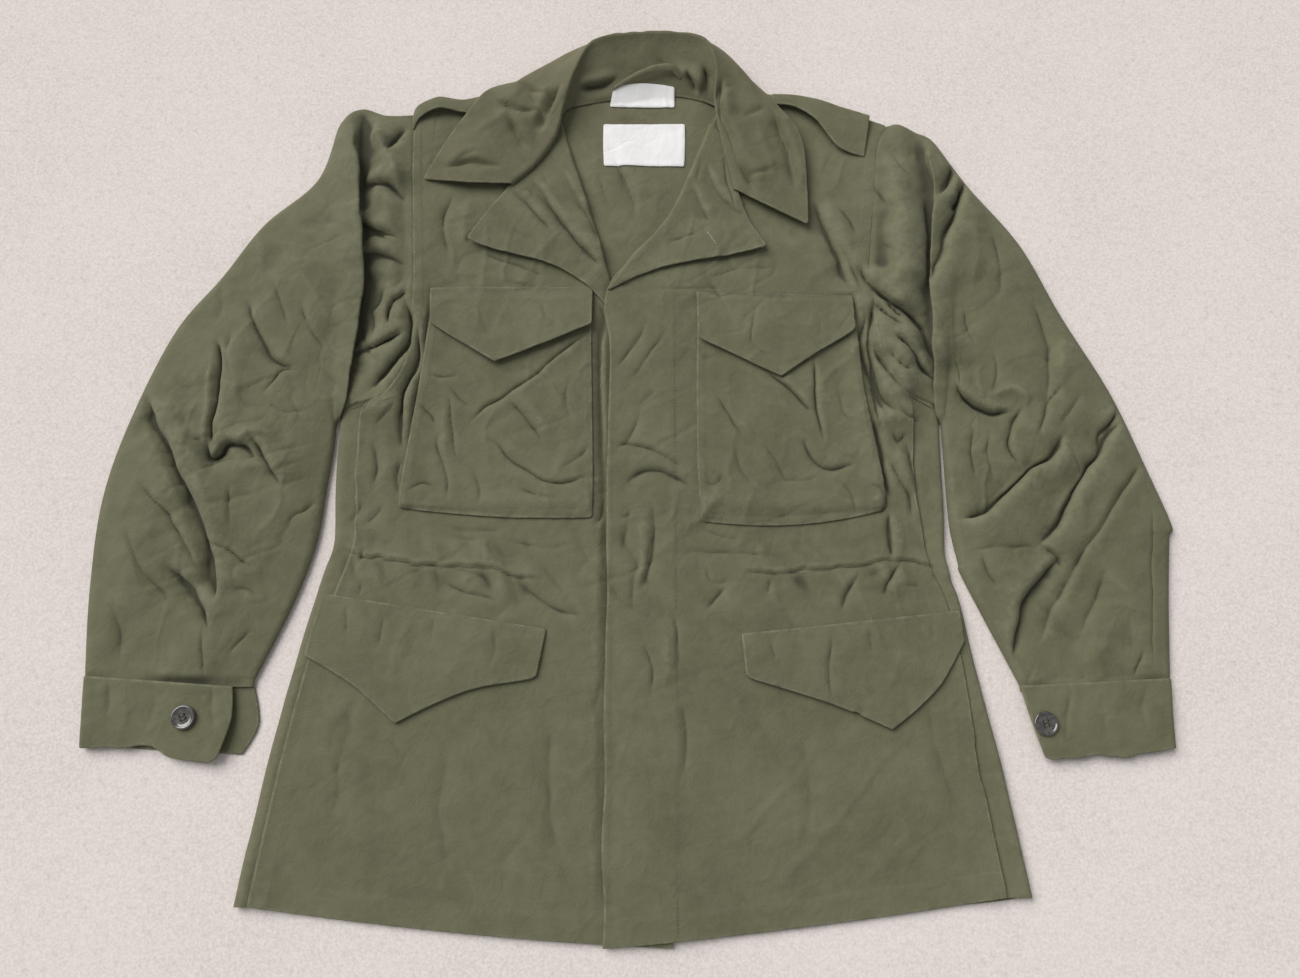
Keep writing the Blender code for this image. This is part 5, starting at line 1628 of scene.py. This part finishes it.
def label_grid(sections):
    """A label on the back's inner side, or on the collar's stand where it reaches that."""
    places, share = patch(sections, STRIP_STEP, ((0, 1),), LABEL_WIDE, [LABEL_CORNER] * 4)
    x, y = across(sections, places, share)
    rise = PLY / 2 + AIR + LABEL / 2
    seam_y = np.interp(x, [s.foot_x for s in COLLAR[5:8]], [s.foot_y for s in COLLAR[5:8]])
    on_stand = 4.8 + 0.42 * (y - seam_y)
    middle = grid(x, y, np.maximum(back_height(x, y) + rise, on_stand))
    wave = 0.3 * np.abs(hills(x, y, 16, 121))
    return lifted(middle, wave + 0.2 * bump(inset(middle, False) - 2.5, 1.6))


# Buttons


# Radius and height of a button's turned outline, from its underside, and of its holes' drill
BUTTON_PROFILE = [
    (6.4, 7.3), (8.4, 7.35), (9.7, 7.9), (10.2, 8.8), (10.25, 9.5), (10.0, 10.2), (9.5, 10.6),
    (8.9, 10.7), (8.3, 10.6), (7.8, 10.25), (7.3, 9.95), (6.4, 9.8), (5.2, 9.76),
]
DRILL_PROFILE = [(1.05, 5), (1.05, 9.4), (1.5, 10.2), (2, 12)]
HOLE_REACH = 2.3  # from the button's middle to each hole's
HOLE_TURNS = (0.79, 2.36, 3.93, 5.5)

# A strand of thread over a button: shares of the way between two holes, and heights
STRAND = [(0, 7.0), (0, 9.6), (0.12, 10.15), (0.5, 10.3), (0.88, 10.15), (1, 9.6), (1, 7.0)]
STRAND_RADIUS = 0.32
STRANDS_APART = 0.7


def turned(profile, sides, place):
    """A turned solid, closed at its middle, as points and faces."""
    points = [(0, 0, profile[0][1])]
    for radius, z in profile:
        for k in range(sides):
            a = 2 * math.pi * k / sides
            points.append((radius * math.cos(a), radius * math.sin(a), z))
    points.append((0, 0, profile[-1][1]))
    faces = []
    end = len(points) - 1
    for k in range(sides):
        ahead = (k + 1) % sides
        faces.append((0, 1 + ahead, 1 + k))
        for ring in range(len(profile) - 1):
            low = 1 + ring * sides
            faces.append((low + k, low + ahead, low + sides + ahead, low + sides + k))
        faces.append((end - sides + k, end - sides + ahead, end))
    return [Vector((x + place.x, y + place.y, z)) for x, y, z in points], faces


def solid(name, points, faces, finish):
    """An object of points in the tables' millimetres."""
    mesh = bpy.data.meshes.new(name)
    mesh.from_pydata([(p - Vector(ORIGIN)) * MM for p in points], [], faces)
    mesh.materials.append(finish)
    return placed(name, mesh)


def drilled(button, drills):
    """The button's mesh with the drills' holes cut through it."""
    for drill in drills:
        button.modifiers.new("hole", "BOOLEAN").object = drill
    bpy.context.view_layer.update()
    mesh = bpy.data.meshes.new_from_object(button.evaluated_get(bpy.context.evaluated_depsgraph_get()))
    button.modifiers.clear()
    for drill in drills:
        bpy.data.objects.remove(drill)
    return mesh


def make_button(name, place, turn, finish, thread_finish):
    """A four-hole button with a raised rim, and the crossed thread that holds it."""
    holes = []
    for a in HOLE_TURNS:
        x, y = HOLE_REACH * math.cos(a), HOLE_REACH * math.sin(a)
        holes.append(Point(
            x * math.cos(turn) - y * math.sin(turn), x * math.sin(turn) + y * math.cos(turn),
        ))
    button = solid(name, *turned(BUTTON_PROFILE, 64, place), finish)
    drills = []
    for hole in holes:
        at = Point(place.x + hole.x, place.y + hole.y)
        drills.append(solid(f"{name}_drill", *turned(DRILL_PROFILE, 20, at), finish))
    button.data = drilled(button, drills)
    button.data.shade_smooth()
    button.data.set_sharp_from_angle(angle=math.radians(38))
    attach(button, "root")
    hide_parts(name)
    strands = []
    for start, end in (holes[:2], holes[2:]):
        for aside in (-STRANDS_APART / 2, STRANDS_APART / 2):
            strands.append(tube(strand_line(start, end, place, aside), STRAND_RADIUS))
    piece(f"{name}_thread", strands, thread_finish)


def strand_line(start, end, place, aside):
    """A strand up through one hole, across and down through another."""
    over_x, over_y = end.x - start.x, end.y - start.y
    share = aside / math.hypot(over_x, over_y)
    first_x, first_y = place.x + start.x - over_y * share, place.y + start.y + over_x * share
    return fine_line([(first_x + over_x * t, first_y + over_y * t, z) for t, z in STRAND], 4)


def tube(line, radius, sides=7):
    """A round strand along a line of points."""
    along = np.gradient(line, axis=0)
    along /= np.linalg.norm(along, axis=1, keepdims=True)
    level = np.cross(along, [0.31, 0.52, 0.8])
    level /= np.linalg.norm(level, axis=1, keepdims=True)
    other = np.cross(along, level)
    turn = np.linspace(0, 2 * math.pi, sides, endpoint=False)[None, :, None]
    ring = level[:, None] * np.cos(turn) + other[:, None] * np.sin(turn)
    points = (line[:, None] + ring * radius).reshape(-1, 3)
    rows = np.arange(len(line) - 1)[:, None] * sides
    k = np.arange(sides)[None]
    ahead = (k + 1) % sides
    faces = np.stack([rows + k, rows + ahead, rows + sides + ahead, rows + sides + k], -1)
    return points, faces.reshape(-1, 4), np.full(len(points), 9.0), np.zeros(len(points))


# Finishes


class Wire:
    """A value that changes over a surface; arithmetic on it adds Math nodes."""

    def __init__(self, finish, socket):
        self.finish = finish
        self.socket = socket

    def math(self, operation, *values):
        """The value of a Math node."""
        inputs = dict(enumerate(values))
        return self.finish.node("ShaderNodeMath", {"operation": operation}, inputs)

    def __add__(self, other):
        return self.math("ADD", self, other)

    __radd__ = __add__

    def __sub__(self, other):
        return self.math("SUBTRACT", self, other)

    def __rsub__(self, other):
        return self.math("SUBTRACT", other, self)

    def __mul__(self, other):
        return self.math("MULTIPLY", self, other)

    __rmul__ = __mul__

    def between(self, low, high):
        """0 at low, 1 at high, and smooth between them."""
        settings = {"interpolation_type": "SMOOTHSTEP"}
        return self.finish.node("ShaderNodeMapRange", settings, {0: self, 1: low, 2: high})


class Finish:
    """A material, and the nodes that are added to it."""

    def __init__(self, name):
        self.material = bpy.data.materials.new(name)
        self.material.use_nodes = True
        self.tree = self.material.node_tree
        self.shader = self.tree.nodes["Principled BSDF"]
        self.place = self.node("ShaderNodeTexCoord", {}, {}, "Object")

    def node(self, kind, settings, inputs, output=0):
        """Any node of the material: its kind, its settings and what its sockets get."""
        made = self.tree.nodes.new(kind)
        for key, value in settings.items():
            setattr(made, key, value)
        for key, value in inputs.items():
            self.join(made.inputs[key], value)
        return Wire(self, made.outputs[output])

    def join(self, socket, value):
        """Give a socket a link or a constant."""
        if isinstance(value, Wire):
            self.tree.links.new(value.socket, socket)
        else:
            socket.default_value = value

    def noise(self, size, detail=2.0, rough=0.5, twist=0.0, stretch=(1, 1, 1)):
        """Cloudy noise whose features are about size apart, in mm."""
        place = self.node("ShaderNodeMapping", {}, {"Vector": self.place, "Scale": stretch})
        inputs = {
            "Vector": place, "Scale": 1 / (size * MM), "Detail": detail,
            "Roughness": rough, "Distortion": twist,
        }
        return self.node("ShaderNodeTexNoise", {}, inputs)

    def mark(self, name):
        """A value that piece() keeps at each point of the cloth."""
        return self.node("ShaderNodeAttribute", {"attribute_name": name}, {}, "Fac")

    def mix(self, share, one, other):
        """Colours, from one at share 0 to the other at 1."""
        return self.node("ShaderNodeMix", {"data_type": "RGBA"}, {0: share, 6: one, 7: other}, 2)

    def set(self, **values):
        """Give the shader's sockets their links and constants."""
        for key, value in values.items():
            self.join(self.shader.inputs[key.replace("_", " ")], value)

    def bump(self, height, distance, strength, normal=None):
        """Small relief of a height in mm, on another relief's normal if it is given one."""
        inputs = {"Height": height, "Distance": distance * MM, "Strength": strength}
        if normal:
            inputs["Normal"] = normal
        return self.node("ShaderNodeBump", {}, inputs)


def colour(red, green, blue):
    """An opaque colour."""
    return (red, green, blue, 1.0)


def cotton_finish(name, tone=1.0, warmth=0.0):
    """Olive cotton sateen: close warp ribs, cloudy dye, soft crumples and pale worn edges, with painted
    shade in its hollows and crests paled partly by wear and partly as a painted highlight.
    """
    cloth = Finish(name)
    deep = colour(0.102 * tone, 0.099 * tone, 0.054 * tone)
    mid = colour((0.134 + warmth) * tone, 0.131 * tone, 0.074 * tone)
    pale = colour(0.174 * tone, 0.171 * tone, 0.106 * tone)
    # Pale colour of rubbed edges; on crests it is also a painted highlight.
    worn = colour(0.30, 0.29, 0.205)
    clouds = cloth.noise(85, 4, 0.55).between(0.3, 0.72)
    patches = cloth.noise(17, 4, 0.6, 0.4).between(0.34, 0.68)
    threads = cloth.noise(0.9, 2, 0.6, 0, (1.0, 0.22, 1.0)).between(0.25, 0.78)
    base = cloth.mix(clouds * 0.75, mid, deep)
    base = cloth.mix(patches * 0.4, base, pale)
    base = cloth.mix(threads * 0.30, base, pale)
    edge, raised = cloth.mark("edge"), cloth.mark("raised")
    rubbed = 1 - edge.between(0.2, 2.0)
    rubbed = rubbed * cloth.noise(11, 3, 0.7).between(0.36, 0.68) * 0.34
    # Crests and broad swells are paled towards the worn colour, partly as wear and partly as a painted
    # highlight where light falls on them.
    crests = raised.between(0.1, 1.4) * cloth.noise(6, 3, 0.6).between(0.2, 0.8) * 0.24
    base = cloth.mix(rubbed + crests, base, worn)
    # Painted shade: the cloth is darkened where it lies lower than the cloth round it, in creases, folds
    # and hollows, for the shade that falls there.
    hollow = (0 - raised).between(0.05, 2.4) * 0.82
    base = cloth.mix(hollow, base, colour(0.040, 0.038, 0.024))
    ribs = cloth.node(
        "ShaderNodeTexWave", {"wave_type": "BANDS", "bands_direction": "DIAGONAL"},
        {"Vector": cloth.place, "Scale": 560.0, "Distortion": 1.5, "Detail": 1.0},
    )
    yarn = cloth.noise(0.8, 2, 0.6, 0, (1.0, 0.3, 1.0))
    crumple = cloth.noise(15, 6, 0.62, 0.6)
    weave = cloth.bump(ribs * 0.4 + yarn, 0.10, 0.5)
    normal = cloth.bump(crumple, 2.6, 0.5, weave)
    cloth.set(Base_Color=base, Roughness=0.80 + 0.12 * threads, Normal=normal)
    cloth.set(Sheen_Weight=0.16, Sheen_Roughness=0.42, Sheen_Tint=colour(0.78, 0.78, 0.62))
    cloth.set(Specular_IOR_Level=0.32)
    return cloth.material


def thread_finish_of(name, dark, light):
    """Sewing thread, its strands from a dark to a light colour."""
    thread = Finish(name)
    strands = thread.noise(1.6, 2, 0.6).between(0.2, 0.8)
    base = thread.mix(strands, dark, light)
    thread.set(Base_Color=base, Roughness=0.7, Normal=thread.bump(thread.noise(0.4), 0.05, 0.4))
    thread.set(Sheen_Weight=0.1, Specular_IOR_Level=0.35)
    return thread.material


def label_finish(name):
    """White label tape: fine plain weave, a little creased and greyed."""
    label = Finish(name)
    grey = label.noise(14, 4, 0.6).between(0.35, 0.75)
    yarn = label.noise(0.7, 1, 0.5, 0, (1, 0.4, 1))
    base = label.mix(grey * 0.45, colour(0.90, 0.89, 0.88), colour(0.76, 0.75, 0.74))
    edge = label.mark("edge")
    base = label.mix((1 - edge.between(0.3, 1.6)) * 0.3, base, colour(0.60, 0.59, 0.56))
    normal = label.bump(label.noise(7, 4, 0.6), 0.5, 0.5, label.bump(yarn, 0.06, 0.5))
    label.set(Base_Color=base, Roughness=0.75 + 0.1 * grey, Normal=normal)
    label.set(Sheen_Weight=0.1)
    return label.material


def button_finish(name):
    """Dark moulded plastic with a fine swirl and a polished face."""
    plastic = Finish(name)
    swirl = plastic.noise(6, 4, 0.6, 1.5).between(0.35, 0.7)
    base = plastic.mix(swirl, colour(0.036, 0.034, 0.030), colour(0.10, 0.092, 0.078))
    scuffs = plastic.noise(1.2, 4, 0.7).between(0.45, 0.8)
    normal = plastic.bump(plastic.noise(3.5, 3, 0.5), 0.05, 0.35)
    plastic.set(Base_Color=base, Roughness=0.13 + 0.17 * scuffs, Normal=normal)
    plastic.set(Coat_Weight=1.0, Coat_Roughness=0.08, Specular_IOR_Level=0.7)
    return plastic.material


def floor_finish(name):
    """A pale, slightly mottled floor covering with a fine nap."""
    floor = Finish(name)
    cloudy = floor.noise(160, 5, 0.62).between(0.32, 0.7)
    speckle = floor.noise(2.4, 3, 0.7).between(0.28, 0.72)
    flecks = floor.noise(7, 4, 0.7).between(0.52, 0.74)
    base = floor.mix(cloudy * 0.6, colour(0.675, 0.604, 0.567), colour(0.75, 0.683, 0.648))
    base = floor.mix(speckle * 0.8, base, colour(0.86, 0.80, 0.765))
    base = floor.mix(flecks * 0.4, base, colour(0.52, 0.465, 0.44))
    normal = floor.bump(floor.noise(2.2, 3, 0.6), 0.35, 0.35)
    floor.set(Base_Color=base, Roughness=0.95, Normal=normal)
    floor.set(Specular_IOR_Level=0.15)
    return floor.material


# The jacket


# The flat cut of each piece, in mm, its area in square metres unless it is a rectangle, and what
# it lies on
Cut = namedtuple("Cut", "width length area rests_on")
CUTS = {
    "back": Cut(660, 800, 0.41, ()),
    "front_right": Cut(345, 790, 0.20, ("back",)),
    "front_left": Cut(330, 790, 0.20, ("front_right", "back")),
    "sleeve_right": Cut(560, 640, 0.20, ("back",)),
    "sleeve_left": Cut(540, 620, 0.185, ("back",)),
    "cuff_right": Cut(285, 60, None, ()),
    "cuff_left": Cut(230, 62, None, ()),
    "collar": Cut(540, 105, 0.0416, ("lapel_right", "lapel_left", "back")),
    "lapel_right": Cut(145, 205, 0.0133, ("front_right",)),
    "lapel_left": Cut(150, 178, 0.0108, ("front_left",)),
    "chest_pocket_right": Cut(170, 205, None, ("front_right",)),
    "chest_pocket_left": Cut(166, 206, None, ("front_left",)),
    "chest_flap_right": Cut(150, 76, 0.0089, ("chest_pocket_right",)),
    "chest_flap_left": Cut(145, 82, 0.0092, ("chest_pocket_left",)),
    "skirt_flap_right": Cut(205, 108, 0.0138, ("front_right",)),
    "skirt_flap_left": Cut(190, 100, 0.0123, ("front_left",)),
    "shoulder_loop_right": Cut(78, 18, None, ("front_right",)),
    "shoulder_loop_left": Cut(110, 30, None, ("front_left",)),
    "hanger_loop": Cut(66, 10, None, ("collar",)),
    "neck_label": Cut(64, 27, None, ("back",)),
    "size_label": Cut(79, 47, None, ("back",)),
}


def sewn(node, cloth, seams, finish, thread_finish, slot="field_cotton", more=()):
    """A piece of cloth with the stitches on it; the more pieces that it is given are not used."""
    name = f"{node}_cloth"
    made = piece(name, cloth, finish, [node])
    rows = [row for row in (stitches(*seam) for seam in seams) if row]
    thread = [piece(f"{name}_stitches", rows, thread_finish)] if rows else []
    cut = CUTS[node]
    flat = (cut.width * MM, cut.length * MM)


def border(middle, thick, side, insets, sides):
    """Lines of points on a grid's face with their normals, some cells in from its named sides."""
    top, up = faces_of(middle, thick, side)
    rows, columns = middle.shape[:2]
    lines = []
    for k in insets:
        along_row, along_column = np.arange(k, columns - k), np.arange(k, rows - k)
        places = {
            "first": (k, along_row), "last": (rows - 1 - k, along_row),
            "near": (along_column, k), "far": (along_column, columns - 1 - k),
        }
        lines += [(top[places[name]], up[places[name]]) for name in sides]
    return lines


ALL_ROUND = ("first", "last", "near", "far")  # a grid's first and last row, and its columns


def on_face(middle, thick, side, ends):
    """Points from one end of a short line to the other on a grid's face, with its normals."""
    top, up = faces_of(middle, thick, side)
    flat, normals = top.reshape(-1, 3), up.reshape(-1, 3)
    first, last = np.array(ends, float)
    places = first + (last - first) * np.linspace(0, 1, 12)[:, None]
    near = [np.linalg.norm(flat[:, :2] - place, axis=1).argmin() for place in places]
    return np.column_stack([places, flat[near, 2]]), normals[near]


def make_sleeve(side, finish, thread):
    """A sleeve and its cuff."""
    cloth = [shell(sleeve_grid(side), PLY, side, closed=True, turning=SLEEVE_TURNING)]
    sewn(f"sleeve_{WORDS[side]}", cloth, [], finish, thread)
    middle = cuff_grid(side)
    seams = border(middle, DOUBLE, -side, (1,), ("first", "last", "near"))
    seams += border(middle, DOUBLE, -side, (4,), ("last", "near"))
    sewn(f"cuff_{WORDS[side]}", [shell(middle, DOUBLE, -side)], seams, finish, thread)


def make_lapel(side, finish, thread, pale_thread):
    """A lapel; the left one has a worn buttonhole."""
    middle = lapel_grid(side)
    seams = border(middle, DOUBLE, side, (1, 4), ("first", "near"))
    buttonhole = []
    if side == LEFT:
        rows = [stitches(*on_face(middle, DOUBLE, side, BUTTONHOLE), 2.2, 0.55)]
        buttonhole.append(piece("lapel_left_buttonhole", rows, pale_thread))
    cloth = [shell(middle, DOUBLE, side)]
    sewn(f"lapel_{WORDS[side]}", cloth, seams, finish, thread, more=buttonhole)


def make_pockets(side, finish, thread):
    """A chest pocket, its flap and the flap of the skirt pocket below it."""
    word = WORDS[side]
    middle = pocket_grid(side)
    seams = border(middle, PLY, -side, (1, 5), ("last", "near", "far"))
    cloth = [shell(middle, PLY, -side, turning=TURNING)]
    sewn(f"chest_pocket_{word}", cloth, seams, finish, thread)
    for part, flap, height in (
        ("chest", CHEST_FLAPS[side], chest_height), ("skirt", SKIRT_FLAPS[side], skirt_height),
    ):
        middle = flap_grid(flap, side, height)
        seams = border(middle, DOUBLE, -1, (1, 5), ALL_ROUND)
        sewn(f"{part}_flap_{word}", [shell(middle, DOUBLE, -1)], seams, finish, thread)


def make_jacket():
    """Every piece of the jacket, with its finish."""
    olive = cotton_finish("olive_sateen")
    olive_collar = cotton_finish("olive_sateen_collar", 1.0, 0.004)
    inner = cotton_finish("olive_sateen_inside", 1.05, 0.003)
    thread = thread_finish_of(
        "olive_thread", colour(0.112, 0.108, 0.070), colour(0.168, 0.162, 0.112),
    )
    pale_thread = thread_finish_of(
        "worn_pale_thread", colour(0.30, 0.29, 0.25), colour(0.50, 0.48, 0.43),
    )
    white = label_finish("white_label_cloth")
    plastic = button_finish("dark_button_plastic")

    cloth = [shell(back_grid(), PLY)] + [shell(side_strip(side), PLY, side) for side in WORDS]
    sewn("back", cloth, [], inner, thread)
    for side, word in WORDS.items():
        sewn(f"front_{word}", *make_front(side), olive, thread)
    for side in WORDS:
        make_sleeve(side, olive, thread)

    middle = collar_grid()
    seams = border(middle, DOUBLE, 1, (1, 4), ("first", "last", "far"))
    sewn("collar", [shell(middle, DOUBLE)], seams, olive_collar, thread)
    for side in WORDS:
        make_lapel(side, olive, thread, pale_thread)
        make_pockets(side, olive, thread)

    for name, strips, thick, facing in (
        ("shoulder_loop_right", SHOULDER_LOOPS[RIGHT], DOUBLE, 1),
        ("shoulder_loop_left", SHOULDER_LOOPS[LEFT], DOUBLE, -1),
        ("hanger_loop", HANGER_LOOP, PLY, 1),
    ):
        middle = strip_grid(strips)
        seams = border(middle, thick, facing, (1,), ("near", "far"))
        sewn(name, [shell(middle, thick, facing)], seams, olive, thread)

    for name, sections in (("neck_label", NECK_LABEL), ("size_label", SIZE_LABEL)):
        middle = label_grid(sections)
        seams = border(middle, LABEL, -1, (1,), ALL_ROUND)
        sewn(name, [shell(middle, LABEL, -1)], seams, white, white, "label_cotton")

    for side, word in WORDS.items():
        make_button(f"cuff_button_{word}", BUTTONS[side], BUTTON_TURNS[side], plastic, thread)


def make_stage():
    """The floor, a square with the jacket in its middle."""
    reach, top = 4, -0.0006
    points = [(-reach, -reach, top), (reach, -reach, top), (reach, reach, top), (-reach, reach, top)]
    mesh = bpy.data.meshes.new("floor")
    mesh.from_pydata(points, [], [(0, 1, 2, 3)])
    mesh.materials.append(floor_finish("pale_floor"))
    placed("floor", mesh)


def make_light():
    """Soft light from a window beyond the wearer's right shoulder, in an evenly lit room."""
    data = bpy.data.lights.new("window", "SUN")
    data.energy = 2.8
    data.angle = math.radians(50)
    data.color = (1.0, 0.985, 0.965)
    window = placed("window", data)
    window.rotation_euler = Vector((0.60, -0.52, -0.75)).to_track_quat("-Z", "Y").to_euler()
    room = bpy.data.worlds.new("room")
    room.use_nodes = True
    background = room.node_tree.nodes["Background"]
    background.inputs["Color"].default_value = colour(0.95, 0.97, 1.0)
    background.inputs["Strength"].default_value = 0.36
    bpy.context.scene.world = room
    bpy.context.scene.view_settings.view_transform = "Standard"


def make_camera():
    """The camera that the main creases are noted from."""
    data = bpy.data.cameras.new("camera")
    data.sensor_width = 36
    data.lens = data.sensor_width * FOCAL / VIEW.x
    data.dof.use_dof = False
    camera = placed("camera", data)
    camera.location = (np.array((*CAMERA, CAMERA_HEIGHT)) - ORIGIN) * MM
    camera.rotation_euler = (CAMERA_TILT, 0, 0)
    bpy.context.scene.camera = camera


make_camera()
make_jacket()
make_stage()
make_light()
